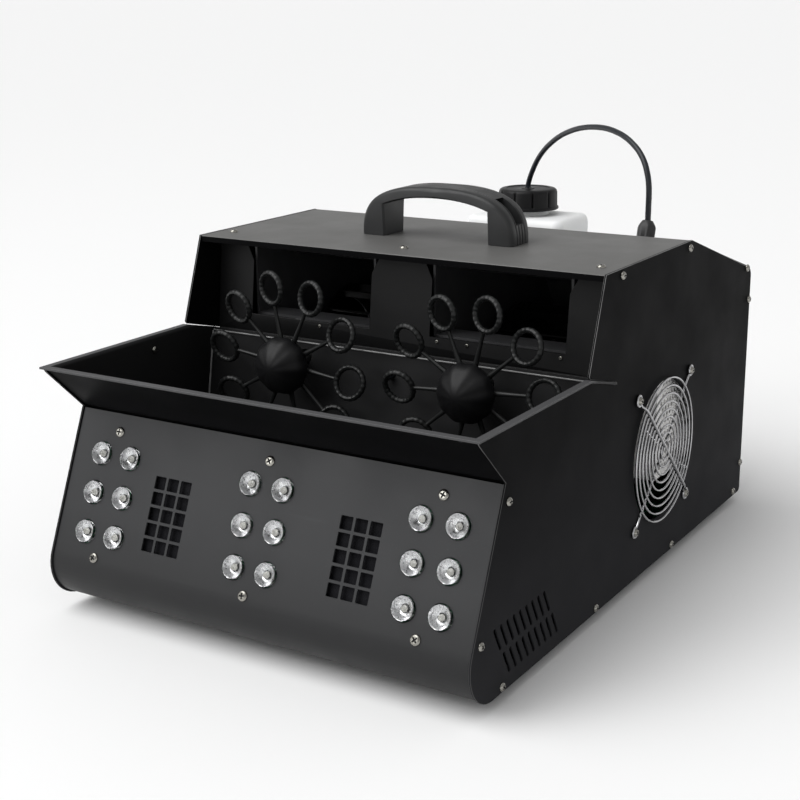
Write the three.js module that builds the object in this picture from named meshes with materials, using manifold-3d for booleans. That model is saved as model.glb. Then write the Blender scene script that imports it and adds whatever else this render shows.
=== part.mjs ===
// A bubble machine with two wand wheels, an LED front, an open fluid pan and a feed bottle behind.
// Millimetres, +Z up, the front towards -Y and +X to the right as seen from the front.
// Pieces are drawn in the housing's own frame: X = 0 in the middle, Y = 0 on the rear face and
// Z = 0 at the side panels' lower edge. The whole group is then moved to the middle of its footprint.

import * as THREE from 'three';
import { mergeVertices } from 'three/addons/utils/BufferGeometryUtils.js';
import Module from 'manifold-3d';

const wasm = await Module();
wasm.setup();

// ---------------------------------------------------------------- driving dimensions

const GAP = 0.3; // left between pieces that touch
const SHEET = 1.5; // folded steel sheet
const TAU = 2 * Math.PI;

// Housing outline, as [y, z] in the side panels' plane.
const HALF_WIDTH = 180.6; // to the side panels' outer faces
const ROOF_Z = 252.6;
const ROOF_FRONT_Y = -311.8;
const ROOF_BACK_Y = -147.9; // the roof slopes down behind this line
const REAR_TOP_Z = 207.5;
const HOOD_FOOT = [-335.5, 182.4]; // where the hood's slanted front edge meets the pan's rim
const RIM_Z = 182.4;
const RIM_FRONT_Y = -495.9;
const FRONT_TOP = [-458.5, 144.2]; // upper edge of the LED front
const FRONT_LEAN = THREE.MathUtils.degToRad(22.9);
const TOE_RADIUS = 30; // the front rolls round into the floor
const INSET = 1.5; // sheets lie this far inside the side panels' edge
const HALF_INNER = HALF_WIDTH - SHEET - GAP; // half width of sheets between the side panels
const FOOT_HEIGHT = 8;

// LED front, with distances measured down the slope from its upper edge.
const LED_GROUP_X = [-138.6, 0, 138.6];
const LED_COLUMN = 13.9;
const LED_ROWS = [32.4, 61.9, 91.4];
const LENS_RADIUS = 8.4;
const VENT_X = [-81, 81];
const VENT_TOP = 40.6;
const VENT_SIZE = [33, 54.9];
const VENT_GRID = [3, 5];
const VENT_BAR = 2.2;

// Wand wheels.
const WHEEL_X = 83;
const WHEEL_Y = -331;
const WHEEL_Z = 160;
const WAND_COUNT = 10;
const RING_CENTRE = 60.9; // from the wheel's axis to a ring's centre
const RING_RADIUS = 12.2; // to the middle of the ring's wire
const RING_WIRE = 2;
const RING_TWIST = THREE.MathUtils.degToRad(-16);
const WHEEL_PHASE = { left: THREE.MathUtils.degToRad(29), right: THREE.MathUtils.degToRad(4) };
const SHAFT_RADIUS = 4;
const MOTOR_FRONT_Y = -291.3;
const MOTOR_RADIUS = 23;
const MOTOR_DEPTH = 20;

// Blowers behind the two windows.
const WINDOW = { inner: 27.5, outer: 142.5, bottom: 187.5, bend: 231, top: 244.5, flare: 7 };
const BLOWER_Y = -160;
const BLOWER_Z = 130;
const BLOWER_X = [26, 144];
const BLOWER_WALL = 2;
const TONGUE_ANGLE = 150;
const SCROLL_RADIUS = [70, 100];
const IMPELLER_RADIUS = 60;
const IMPELLER_BLADES = 14;

// Side intakes, louvres, handle.
const INTAKE_Y = -195.1;
const INTAKE_Z = 93.7;
const INTAKE_RADIUS = 56;
const GUARD_BOLT_RADIUS = 74.1;
const GUARD_RINGS = 6;
const LOUVRE_ROWS = [{ y: -472.2, z: 48.3 }, { y: -459, z: 27.2 }];
const LOUVRE_COUNT = 9;
const LOUVRE_PITCH = 8.9;
const HANDLE = { x: 3, y: -229, half: 69, depth: 34, height: 41.5, inner: 47 };

// Feed bottle, its cap and hose, and the gland on the sloping roof.
const BOTTLE = { x: -61.4, y: 45, width: 104, depth: 70, bottom: 10, shoulder: 231, neck: 21 };
const CAP = { radius: 28.5, bottom: 236.3, top: 256 };
const HOSE_RADIUS = 2.5;
const HOSE_BORE = 3; // what the hose or dip tube passes through
const GLAND = { x: 112.5, y: -80, bodyHeight: 5, nutHeight: 17, radius: 8 };

// Rear sockets, as the x and z of their centres on the rear panel.
const INLET_AT = [148, 36];
const SWITCH_AT = [105, 36];
const DMX_AT = [[35, 42], [68, 42]];
const DISPLAY_AT = [92, 150];
const ROCKER_TILT = 8; // degrees either way
const ROCKER_PIN_Y = -2;
const BUTTON_TRAVEL = 1.2;

const SUPPLY = { x0: 149, x1: 171.4, y0: -186, y1: -76, z0: 62, z1: 160 };

const FOOT_AT = [[-140, -440], [140, -440], [-140, -40], [140, -40]];
const BRACKET_BACK_Y = BOTTLE.y + BOTTLE.depth / 2 + 3;
const TOE_CENTRE_Y = FRONT_TOP[0]
  + (TOE_RADIUS - Math.sin(FRONT_LEAN) * (FRONT_TOP[1] - TOE_RADIUS)) / Math.cos(FRONT_LEAN);
const TOE_TIP_Y = TOE_CENTRE_Y - TOE_RADIUS;

// ---------------------------------------------------------------- solids

// A closed geometry as a manifold solid, its faces turned outwards whichever way it was drawn.
function solid(geometry) {
  const bare = geometry.index ? geometry.toNonIndexed() : geometry.clone();
  for (const name of Object.keys(bare.attributes)) {
    if (name !== 'position') bare.deleteAttribute(name);
  }
  const merged = mergeVertices(bare, 1e-4);
  const index = merged.index.array;
  const kept = [];
  for (let i = 0; i < index.length; i += 3) {
    const [a, b, c] = [index[i], index[i + 1], index[i + 2]];
    if (a !== b && b !== c && c !== a) kept.push(a, b, c);
  }
  const vertProperties = merged.attributes.position.array;
  const made = (corners) => new wasm.Manifold(new wasm.Mesh({
    numProp: 3, vertProperties, triVerts: new Uint32Array(corners),
  }));
  const body = made(kept);
  return body.volume() > 0 ? body : made(kept.reverse());
}

function geometryOf(body) {
  const mesh = body.getMesh();
  const geometry = new THREE.BufferGeometry();
  geometry.setAttribute('position', new THREE.BufferAttribute(mesh.vertProperties, 3));
  geometry.setIndex(new THREE.BufferAttribute(mesh.triVerts, 1));
  const flat = geometry.toNonIndexed();
  flat.computeVertexNormals();
  return flat;
}

const join = (...bodies) => bodies.reduce((all, body) => all.add(body));
const cut = (body, ...tools) => tools.reduce((left, tool) => left.subtract(tool), body);

const shapeOf = (points) => new THREE.Shape(points.map(([u, v]) => new THREE.Vector2(u, v)));

function extrusion(points, depth) {
  return new THREE.ExtrudeGeometry(shapeOf(points), { depth, bevelEnabled: false });
}

const AXES = {
  x: [new THREE.Vector3(0, 1, 0), new THREE.Vector3(0, 0, 1), new THREE.Vector3(1, 0, 0)],
  y: [new THREE.Vector3(1, 0, 0), new THREE.Vector3(0, 0, 1), new THREE.Vector3(0, -1, 0)],
};

// An outline of [y, z] points drawn out along X, less any holes right through it.
function alongX(points, x0, x1, holes = []) {
  const geometry = extrusion(points, x1 - x0);
  geometry.applyMatrix4(new THREE.Matrix4().makeBasis(...AXES.x));
  return cut(solid(geometry.translate(x0, 0, 0)), ...holes.map((hole) => alongX(hole, x0 - 1, x1 + 1)));
}

// An outline of [x, z] points drawn out along Y, less any holes right through it.
function alongY(points, y0, y1, holes = []) {
  const geometry = extrusion(points, y1 - y0);
  geometry.applyMatrix4(new THREE.Matrix4().makeBasis(...AXES.y));
  return cut(solid(geometry.translate(0, y1, 0)), ...holes.map((hole) => alongY(hole, y0 - 1, y1 + 1)));
}

function block(x0, x1, y0, y1, z0, z1) {
  const geometry = new THREE.BoxGeometry(x1 - x0, y1 - y0, z1 - z0);
  return solid(geometry.translate((x0 + x1) / 2, (y0 + y1) / 2, (z0 + z1) / 2));
}

// A turned piece: profile points are [radius, distance along the axis].
function turned(profile, segments = 24) {
  return new THREE.LatheGeometry(profile.map(([r, h]) => new THREE.Vector2(r, h)), segments);
}

// Turned pieces whose axis runs along +X, -Y or +Z through a given place.
function turnedX(profile, x, y, z, segments) {
  return solid(turned(profile, segments).rotateZ(-TAU / 4).translate(x, y, z));
}
function turnedForward(profile, x, y, z, segments) {
  return solid(turned(profile, segments).rotateX(TAU / 2).translate(x, y, z));
}
function turnedZ(profile, x, y, z, segments) {
  return solid(turned(profile, segments).rotateX(TAU / 4).translate(x, y, z));
}

const disc = (radius, h0, h1) => [[0, h0], [radius, h0], [radius, h1], [0, h1]];
const tubeWall = (inner, outer, h0, h1) => [
  [inner, h0], [outer, h0], [outer, h1], [inner, h1], [inner, h0],
];

function regular(count, radius, turn = 0) {
  return Array.from({ length: count }, (_, i) => {
    const angle = turn + (TAU * i) / count;
    return [radius * Math.cos(angle), radius * Math.sin(angle)];
  });
}

function rounded(x0, x1, y0, y1, radius, steps = 3) {
  const corners = [
    [x1 - radius, y0 + radius, -TAU / 4],
    [x1 - radius, y1 - radius, 0],
    [x0 + radius, y1 - radius, TAU / 4],
    [x0 + radius, y0 + radius, TAU / 2],
  ];
  return corners.flatMap(([cx, cy, start]) =>
    Array.from({ length: steps + 1 }, (_, i) => {
      const angle = start + (TAU / 4) * (i / steps);
      return [cx + radius * Math.cos(angle), cy + radius * Math.sin(angle)];
    }));
}

const rectangle = (u0, u1, v0, v1) => [[u0, v0], [u1, v0], [u1, v1], [u0, v1]];
const shifted = (points, du, dv) => points.map(([u, v]) => [u + du, v + dv]);

// A folded sheet's section: the path moved sideways by its thickness, to its left.
function folded(path, thickness = SHEET) {
  const normals = path.slice(1).map(([u, v], i) => {
    const [pu, pv] = path[i];
    const length = Math.hypot(u - pu, v - pv);
    return [-(v - pv) / length, (u - pu) / length];
  });
  const inner = path.map(([u, v], i) => {
    const before = normals[Math.max(i - 1, 0)];
    const after = normals[Math.min(i, normals.length - 1)];
    const sum = [before[0] + after[0], before[1] + after[1]];
    const scale = (2 * thickness) / (sum[0] ** 2 + sum[1] ** 2);
    return [u + sum[0] * scale, v + sum[1] * scale];
  });
  return [...path, ...inner.reverse()];
}

// A round tube along a smooth path.
function tube(points, radius, sides = 8, steps = 24) {
  const path = new THREE.CatmullRomCurve3(points.map((p) => new THREE.Vector3(...p)), false,
    'centripetal');
  const geometry = new THREE.ExtrudeGeometry(shapeOf(regular(sides, radius)), {
    steps, extrudePath: path, bevelEnabled: false,
  });
  return solid(geometry);
}

// ---------------------------------------------------------------- nodes

const COLOURS = {
  housing_paint: [0x17181a, 0.55, 0.3],
  front_paint: [0x26272a, 0.5, 0.3],
  roof_paint: [0x2b2a29, 0.6, 0.2],
  black_plastic: [0x111213, 0.5, 0],
  gloss_plastic: [0x0b0b0c, 0.25, 0],
  milky_plastic: [0xe6e7e5, 0.4, 0],
  clear_lens: [0xdfe6ea, 0.1, 0],
  chrome_wire: [0xd0d2d4, 0.2, 1],
  zinc_steel: [0xa9adb0, 0.4, 0.9],
  board_green: [0x1f5a3a, 0.5, 0],
  rubber: [0x0c0c0c, 0.9, 0],
};

const machine = new THREE.Group();

function add(name, finish, body) {
  const [color, roughness, metalness] = COLOURS[finish];
  const material = new THREE.MeshStandardMaterial({ color, roughness, metalness });
  const mesh = new THREE.Mesh(geometryOf(body), material);
  mesh.name = name;
  machine.add(mesh);
  return mesh;
}

const SIDES = [['left', -1], ['right', 1]];

// ---------------------------------------------------------------- housing

// A point on the LED front: s down the slope from its upper edge, depth behind the outline.
function onFront(s, depth = 0) {
  const [sin, cos] = [Math.sin(FRONT_LEAN), Math.cos(FRONT_LEAN)];
  return [FRONT_TOP[0] - s * sin + depth * cos, FRONT_TOP[1] - s * cos - depth * sin];
}

const FRONT_LENGTH = (FRONT_TOP[1] - TOE_RADIUS - TOE_RADIUS * Math.sin(FRONT_LEAN))
  / Math.cos(FRONT_LEAN);

// The rolled toe between the sloping front and the floor, at a given depth inside the outline.
function toeArc(depth, steps) {
  const radius = TOE_RADIUS - depth;
  const start = TAU / 2 - FRONT_LEAN;
  return Array.from({ length: steps + 1 }, (_, i) => {
    const angle = start + (TAU * 0.75 - start) * (i / steps);
    return [TOE_CENTRE_Y + radius * Math.cos(angle), TOE_RADIUS + radius * Math.sin(angle)];
  });
}

// The height of the pan rim's top at y: level, then sloping down under the hood.
const RIM_SLOPE = 0.2575;
const rimTop = (y) => RIM_Z - Math.max(0, y - HOOD_FOOT[0]) * RIM_SLOPE;

function sideOutline() {
  const slotEnd = -290.5;
  const clear = GAP + 0.1;
  const corner = 10;
  return [
    ...toeArc(0, 6),
    [-4, 0], [0, 4],
    [0, REAR_TOP_Z - corner], [-3, REAR_TOP_Z - 2.5], [-corner, REAR_TOP_Z + 2],
    [ROOF_BACK_Y, ROOF_Z], [ROOF_FRONT_Y, ROOF_Z],
    [HOOD_FOOT[0] - 0.4, HOOD_FOOT[1] + 2.6],
    [HOOD_FOOT[0] + 1.2, rimTop(HOOD_FOOT[0]) + clear],
    [slotEnd, rimTop(slotEnd) + clear],
    [slotEnd, rimTop(slotEnd) - SHEET - clear],
    [HOOD_FOOT[0], RIM_Z - SHEET - clear],
    [RIM_FRONT_Y + 0.5, RIM_Z - SHEET - clear],
    [RIM_FRONT_Y + 2.1, RIM_Z - 4.2],
    [...FRONT_TOP],
  ];
}

function louvreHoles() {
  const [leanY, leanZ, width] = [8.1, -15.2, 2.8];
  return LOUVRE_ROWS.flatMap(({ y, z }) =>
    Array.from({ length: LOUVRE_COUNT }, (_, i) => {
      const top = y + i * LOUVRE_PITCH;
      return [
        [top - width / 2, z], [top + leanY - width / 2, z + leanZ],
        [top + leanY + width / 2, z + leanZ], [top + width / 2, z],
      ];
    }));
}

for (const [side, sign] of SIDES) {
  const intake = shifted(regular(32, INTAKE_RADIUS), INTAKE_Y, INTAKE_Z);
  const faces = [sign * HALF_WIDTH, sign * (HALF_WIDTH - SHEET)].sort((a, b) => a - b);
  add(`side_panel_${side}`, 'housing_paint',
    alongX(sideOutline(), ...faces, [intake, ...louvreHoles()]));
}

// LED front, rolled toe, floor and a short upstand at the rear, from one sheet.
function baseShell() {
  const floorZ = INSET;
  const [topY, topZ] = onFront(0.9, INSET);
  const path = [
    [topY + 3, topZ], [topY, topZ], ...toeArc(INSET, 6), [-2.1, floorZ], [-2.1, 16],
  ];
  const half = HALF_INNER;
  let shell = alongX(folded(path), -half, half);
  for (const sign of [-1, 1]) {
    const flange = [sign * half, sign * (half - SHEET)].sort((a, b) => a - b);
    shell = join(shell, block(...flange, -468, -12, floorZ + 0.1, floorZ + 15));
  }
  const through = (outline, x, s) => {
    const [y, z] = onFront(s, INSET + SHEET / 2);
    const geometry = extrusion(outline, 8).translate(0, 0, -4);
    geometry.rotateX(TAU / 4 - FRONT_LEAN);
    return solid(geometry.translate(x, y, z));
  };
  const tools = [];
  for (const x of LED_GROUP_X) {
    for (const s of LED_ROWS) {
      for (const dx of [-LED_COLUMN, LED_COLUMN]) {
        tools.push(through(regular(12, LENS_RADIUS + 0.6), x + dx, s));
      }
    }
  }
  const [columns, rows] = VENT_GRID;
  const cell = [
    (VENT_SIZE[0] - (columns - 1) * VENT_BAR) / columns,
    (VENT_SIZE[1] - (rows - 1) * VENT_BAR) / rows,
  ];
  const square = rectangle(-cell[0] / 2, cell[0] / 2, -cell[1] / 2, cell[1] / 2);
  for (const x of VENT_X) {
    for (let i = 0; i < columns; i += 1) {
      for (let j = 0; j < rows; j += 1) {
        const dx = (i - (columns - 1) / 2) * (cell[0] + VENT_BAR);
        tools.push(through(square, x + dx, VENT_TOP + cell[1] / 2 + j * (cell[1] + VENT_BAR)));
      }
    }
  }
  return cut(shell, ...tools);
}
add('base_shell', 'front_paint', baseShell());

// The roof: a level top, the slope behind it, and turned-down edges on all four sides.
const SLOPE = (ROOF_Z - REAR_TOP_Z) / -ROOF_BACK_Y;
const roofZ = (y) => ROOF_Z - GAP - Math.max(0, y - ROOF_BACK_Y) * SLOPE;
const SLOPE_NORMAL = new THREE.Vector3(0, SLOPE, 1).normalize();

function roofShell() {
  const front = ROOF_FRONT_Y + 0.4;
  const path = [
    [-2.1, roofZ(-2.1) - 14], [-2.1, roofZ(-2.1)], [ROOF_BACK_Y, roofZ(ROOF_BACK_Y)],
    [front, roofZ(front)], [front, roofZ(front) - 5],
  ];
  let roof = alongX(folded(path), -HALF_INNER, HALF_INNER);
  const strip = [
    [-6, roofZ(-6) - 14], [-6, roofZ(-6) - 0.8], [ROOF_BACK_Y, roofZ(ROOF_BACK_Y) - 0.8],
    [front + 1, roofZ(front) - 0.8], [front + 1, roofZ(front) - 5],
    [front + 20, roofZ(front) - 12], [ROOF_BACK_Y, roofZ(ROOF_BACK_Y) - 14],
  ].reverse();
  for (const sign of [-1, 1]) {
    const faces = [sign * HALF_INNER, sign * (HALF_INNER - SHEET)].sort((a, b) => a - b);
    roof = join(roof, alongX(strip, ...faces));
  }
  return cut(roof, onSlope(disc(HOSE_BORE + 4.6, -6, 6), 0));
}

// A turned piece standing square on the sloping roof where the gland goes.
function onSlope(profile, height, segments = 14) {
  const geometry = turned(profile, segments).rotateX(TAU / 4);
  const turn = new THREE.Quaternion().setFromUnitVectors(new THREE.Vector3(0, 0, 1), SLOPE_NORMAL);
  geometry.applyQuaternion(turn);
  const at = new THREE.Vector3(GLAND.x, GLAND.y, roofZ(GLAND.y)).addScaledVector(SLOPE_NORMAL, height);
  return solid(geometry.translate(at.x, at.y, at.z));
}
add('roof_shell', 'roof_paint', roofShell());

// The wall behind the wheels, leaning a little, with the two blower windows.
const FASCIA = { topY: -287.4, topZ: 249.8, bottomY: -296.4, bottomZ: 172.6, thickness: 1.2 };

function fascia() {
  const rise = FASCIA.topZ - FASCIA.bottomZ;
  const run = FASCIA.topY - FASCIA.bottomY;
  const length = Math.hypot(rise, run);
  const up = (z) => ((z - FASCIA.bottomZ) / rise) * length;
  const half = HALF_INNER - SHEET - GAP;
  const window = (sign) => [
    [sign * WINDOW.inner, up(WINDOW.bottom)], [sign * WINDOW.outer, up(WINDOW.bottom)],
    [sign * WINDOW.outer, up(WINDOW.bend)], [sign * (WINDOW.outer + WINDOW.flare), up(WINDOW.top)],
    [sign * (WINDOW.inner - WINDOW.flare), up(WINDOW.top)], [sign * WINDOW.inner, up(WINDOW.bend)],
  ];
  const leaned = (outline, depth) => {
    const geometry = extrusion(outline, depth).translate(0, 0, (FASCIA.thickness - depth) / 2);
    geometry.rotateX(TAU / 4 - Math.atan2(run, rise));
    return solid(geometry.translate(0, FASCIA.bottomY + FASCIA.thickness, FASCIA.bottomZ));
  };
  const sheet = leaned(rectangle(-half, half, 0, length), FASCIA.thickness);
  return cut(sheet, leaned(window(-1), 5), leaned(window(1), 5));
}
add('fascia', 'housing_paint', fascia());

// The flared sheet between the LED front and the pan's front lip.
const FLARE = new THREE.Vector2(-35.3, 34).normalize();
function flarePoint(offset, z) {
  const y0 = FRONT_TOP[0] + offset * FLARE.y;
  const z0 = FRONT_TOP[1] - offset * FLARE.x;
  return [y0 + ((z - z0) / FLARE.y) * FLARE.x, z];
}
const FLARE_SHEET = 1.2;
const FLARE_PATH = [flarePoint(INSET, RIM_Z - SHEET - 0.9), flarePoint(INSET, FRONT_TOP[1] + 0.6)];
add('tray_front_panel', 'housing_paint',
  alongX(folded(FLARE_PATH, FLARE_SHEET), -HALF_INNER, HALF_INNER));

// The fluid pan: a folded basin with a lip that covers the side panels' upper edges.
const PAN_REAR_Y = -302; // inner face at the rim
const PAN_FLOOR_Z = 76;
const PAN_HALF = HALF_INNER - 0.2;
const LIP_FRONT_Y = -497.3;
const LIP_HALF = 182.6;
const SPOUT_Z = 156;

function panSection(wall, top) {
  const flare = INSET + FLARE_SHEET + 0.4 + wall;
  const frontY = -447.5 + wall;
  const bendZ = flarePoint(flare, 0)[1] + (frontY - flarePoint(flare, 0)[0]) * (FLARE.y / FLARE.x);
  return [
    [frontY, bendZ], [frontY, 81 - wall * 0.5], [-441.5 + wall, PAN_FLOOR_Z - SHEET + wall],
    [-324 - wall, PAN_FLOOR_Z - SHEET + wall], [-319.6 - wall, 80 - wall * 0.3],
    [PAN_REAR_Y + SHEET - wall, rimTop(PAN_REAR_Y)], [PAN_REAR_Y + SHEET - wall, rimTop(PAN_REAR_Y) + top],
    [HOOD_FOOT[0], RIM_Z + top], flarePoint(flare, RIM_Z + top),
  ].filter(([, z], i, all) => i === 0 || z !== all[i - 1][1] || all[i][0] !== all[i - 1][0]);
}

function fluidTray() {
  let pan = alongX(panSection(0, 0), -PAN_HALF, PAN_HALF);
  pan = cut(pan, alongX(panSection(SHEET, 8), -(PAN_HALF - SHEET), PAN_HALF - SHEET));
  const lip = (y0, y1) => [
    [y0, rimTop(y0) - SHEET], [HOOD_FOOT[0], RIM_Z - SHEET], [y1, rimTop(y1) - SHEET],
    [y1, rimTop(y1)], [HOOD_FOOT[0], RIM_Z], [y0, rimTop(y0)],
  ];
  for (const sign of [-1, 1]) {
    const faces = [sign * (PAN_HALF - SHEET), sign * LIP_HALF].sort((a, b) => a - b);
    pan = join(pan, alongX(lip(LIP_FRONT_Y, -292), ...faces));
  }
  const innerFront = flarePoint(INSET + FLARE_SHEET + 0.4 + SHEET, RIM_Z)[0];
  pan = join(pan, block(-LIP_HALF, LIP_HALF, LIP_FRONT_Y, innerFront, RIM_Z - SHEET, RIM_Z));
  const tools = [-WHEEL_X, WHEEL_X].map((x) =>
    turnedForward(disc(SHAFT_RADIUS + 2.5, 0, 20), x, -296, WHEEL_Z, 16));
  tools.push(turnedForward(disc(HOSE_BORE + 0.6, 0, 20), 0, -296, SPOUT_Z, 12));
  return cut(pan, ...tools);
}
add('fluid_tray', 'housing_paint', fluidTray());

// The rear panel with its cut-outs.
function rearPanel() {
  const outline = rectangle(-HALF_INNER, HALF_INNER, 3.4, 204.2);
  const holes = [
    shifted(rectangle(-14.2, 14.2, -10.4, 10.4), ...INLET_AT),
    shifted(rectangle(-7.4, 7.4, -10.4, 10.4), ...SWITCH_AT),
    ...DMX_AT.map((at) => shifted(regular(16, 12.2), ...at)),
    shifted(rectangle(-36, 36, -21, 21), ...DISPLAY_AT),
  ];
  return alongY(outline, -0.3 - SHEET, -0.3, holes);
}
add('rear_panel', 'housing_paint', rearPanel());

// Four screw-on feet.
FOOT_AT.forEach(([x, y], i) => {
  const profile = [
    [0, 0], [11, 0], [12, 1.5], [14, FOOT_HEIGHT + INSET - GAP], [0, FOOT_HEIGHT + INSET - GAP],
  ];
  add(`foot_${['front_left', 'front_right', 'rear_left', 'rear_right'][i]}`, 'rubber',
    turnedZ(profile, x, y, -FOOT_HEIGHT, 16));
});

// ---------------------------------------------------------------- handle

// An arch drawn as half of a superellipse, with straight-sided feet inside it.
function archPoints(half, height, power, from, to, steps) {
  return Array.from({ length: steps + 1 }, (_, i) => {
    const t = from + (to - from) * (i / steps);
    const [c, s] = [Math.cos(t), Math.sin(t)];
    return [
      HANDLE.x + half * Math.sign(c) * Math.abs(c) ** (2 / power),
      ROOF_Z + height * Math.abs(s) ** (2 / power),
    ];
  });
}

function handle() {
  const outer = archPoints(HANDLE.half, HANDLE.height, 2.7, 0, TAU / 2, 18);
  const inner = archPoints(HANDLE.inner + 22, HANDLE.height - 8.5, 2.2, 0, TAU / 2, 20)
    .filter(([x]) => Math.abs(x - HANDLE.x) < HANDLE.inner - 1);
  const [left, right] = [HANDLE.x - HANDLE.inner, HANDLE.x + HANDLE.inner];
  const springZ = ROOF_Z + 27;
  const outline = [
    ...outer, [left, ROOF_Z], [left, springZ], ...inner.reverse(), [right, springZ], [right, ROOF_Z],
  ];
  const [back, front] = [HANDLE.y + HANDLE.depth / 2, HANDLE.y - HANDLE.depth / 2];
  let body = alongY(outline, front, back);
  for (const sign of [-1, 1]) {
    const outerX = HANDLE.x + sign * (HANDLE.half + 1);
    const innerX = HANDLE.x + sign * (HANDLE.inner + 8);
    const faces = [outerX, innerX].sort((a, b) => a - b);
    body = cut(body, block(...faces, HANDLE.y - 6, HANDLE.y + 6, ROOF_Z + 10, ROOF_Z + 42));
  }
  return body;
}
add('handle', 'black_plastic', handle());

// ---------------------------------------------------------------- LED banks

function frontTurned(profile, x, s, depth, segments) {
  const [y, z] = onFront(s, depth);
  const geometry = turned(profile, segments).rotateX(TAU / 2 - FRONT_LEAN);
  return solid(geometry.translate(x, y, z));
}

function frontPlate(outline, s0, depth0, depth1, x) {
  const [y, z] = onFront(s0, depth1);
  const geometry = extrusion(outline, depth1 - depth0);
  geometry.rotateX(TAU / 4 - FRONT_LEAN);
  return solid(geometry.translate(x, y, z));
}

const LENS_SEATS = LED_ROWS.flatMap((s) => [[-LED_COLUMN, s], [LED_COLUMN, s]]);

LED_GROUP_X.forEach((x, i) => {
  const place = ['left', 'centre', 'right'][i];
  const middle = LED_ROWS[1];
  const plate = rounded(-27, 27, -44, 44, 4, 2);
  const behind = INSET + SHEET + 0.3;
  const dome = [
    [0, -1], [LENS_RADIUS - 0.3, -1], [LENS_RADIUS - 0.3, 3.6], [LENS_RADIUS - 3.2, 6.4], [0, 7.6],
  ];
  let lenses = frontPlate(plate, middle, behind, behind + 1.6, x);
  for (const [dx, s] of LENS_SEATS) {
    lenses = join(lenses, frontTurned(dome, x + dx, s, behind, 10));
  }
  add(`lens_bank_${place}`, 'clear_lens', lenses);

  const boardFront = behind + 1.6 + 3.2;
  let board = frontPlate(plate, middle, boardFront, boardFront + 1.6, x);
  for (const [dx, s] of LENS_SEATS) {
    board = join(board, frontTurned(disc(4, -0.8, 2.4), x + dx, s, boardFront, 8));
  }
  add(`led_board_${place}`, 'board_green', board);
});

// ---------------------------------------------------------------- wand wheels

// One ring on its thin arm, along +X from the wheel's axis.
function wand() {
  const ring = new THREE.TorusGeometry(RING_RADIUS, RING_WIRE, 4, 11);
  ring.rotateX(TAU / 4).rotateX(RING_TWIST).translate(RING_CENTRE, 0, 0);
  const reach = [18, RING_CENTRE - RING_RADIUS];
  const arm = new THREE.CylinderGeometry(1.6, 2.2, reach[1] - reach[0], 5);
  arm.rotateZ(-TAU / 4).translate((reach[0] + reach[1]) / 2, 0, 0);
  return [ring, arm];
}

function wandStar(x, phase) {
  let star = turnedForward(tubeWall(SHAFT_RADIUS + GAP, 20.5, -2, 2), 0, 0, 0, 16);
  for (let i = 0; i < WAND_COUNT; i += 1) {
    const angle = phase + (TAU * i) / WAND_COUNT;
    star = join(star, ...wand().map((piece) => solid(piece.rotateY(-angle))));
  }
  return star.translate([x, WHEEL_Y, WHEEL_Z]);
}

const HUB_PROFILE = [
  [SHAFT_RADIUS + GAP, 0], [22.5, 0], [23, 2.5], [21, 8], [16.5, 14.5], [10.5, 19], [5, 20.6],
  [0, 21], [0, 15], [SHAFT_RADIUS + GAP, 15], [SHAFT_RADIUS + GAP, 0],
];
const SHAFT_SHOULDER = 12;

for (const [side, sign] of SIDES) {
  const x = sign * WHEEL_X;
  add(`wand_star_${side}`, 'gloss_plastic', wandStar(x, WHEEL_PHASE[side]));
  const hubY = WHEEL_Y - 2 - GAP;
  add(`wheel_hub_${side}`, 'gloss_plastic', turnedForward(HUB_PROFILE, x, hubY, WHEEL_Z, 16));

  const shoulder = WHEEL_Y + 2 + GAP;
  const tipLength = shoulder - hubY + 14.5;
  const tail = MOTOR_FRONT_Y + 9 - shoulder;
  const profile = [
    [0, -tail], [SHAFT_RADIUS, -tail], [SHAFT_RADIUS, -3.2], [SHAFT_SHOULDER, -3.2],
    [SHAFT_SHOULDER, 0], [SHAFT_RADIUS, 0], [SHAFT_RADIUS, tipLength], [0, tipLength],
  ];
  add(`wheel_shaft_${side}`, 'zinc_steel', turnedForward(profile, x, shoulder, WHEEL_Z, 12));

  const bore = SHAFT_RADIUS + GAP;
  const motor = turnedForward([
    [0, -MOTOR_DEPTH], [MOTOR_RADIUS, -MOTOR_DEPTH], [MOTOR_RADIUS, 0], [7.5, 0], [7.5, 4],
    [bore, 4], [bore, -10], [0, -10],
  ], x, MOTOR_FRONT_Y, WHEEL_Z, 16);
  add(`wheel_motor_${side}`, 'zinc_steel', motor);

  const plateFront = MOTOR_FRONT_Y - GAP - 1.4;
  const outline = rectangle(x - 32, x + 32, 130, 184);
  const hole = shifted(regular(16, 8), x, WHEEL_Z);
  add(`motor_bracket_${side}`, 'zinc_steel', join(
    alongY(outline, plateFront, plateFront + 1.4, [hole]),
    block(x - 32, x + 32, plateFront, MOTOR_FRONT_Y + MOTOR_DEPTH, 130, 131.4),
  ));
}

// ---------------------------------------------------------------- blowers

// The scroll's outline with its duct, shrunk by the wall's thickness for the hollow inside.
function scroll(shrink) {
  const [r0, r1] = SCROLL_RADIUS;
  const steps = 20;
  const points = Array.from({ length: steps + 1 }, (_, i) => {
    const angle = TONGUE_ANGLE + ((450 - TONGUE_ANGLE) * i) / steps;
    const radius = r0 + ((r1 - r0) * i) / steps - shrink;
    const t = THREE.MathUtils.degToRad(angle);
    return [BLOWER_Y + radius * Math.cos(t), BLOWER_Z + radius * Math.sin(t)];
  });
  const mouthY = -285.5 - (shrink ? 3 : 0);
  return [
    ...points,
    [-228, BLOWER_Z + r1 - shrink], [-283.5, ROOF_Z - SHEET - 1 - shrink],
    [mouthY, ROOF_Z - SHEET - 1 - shrink],
    [mouthY, WINDOW.bottom - BLOWER_WALL + shrink],
    [-262, WINDOW.bottom - BLOWER_WALL + shrink],
  ];
}

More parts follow.
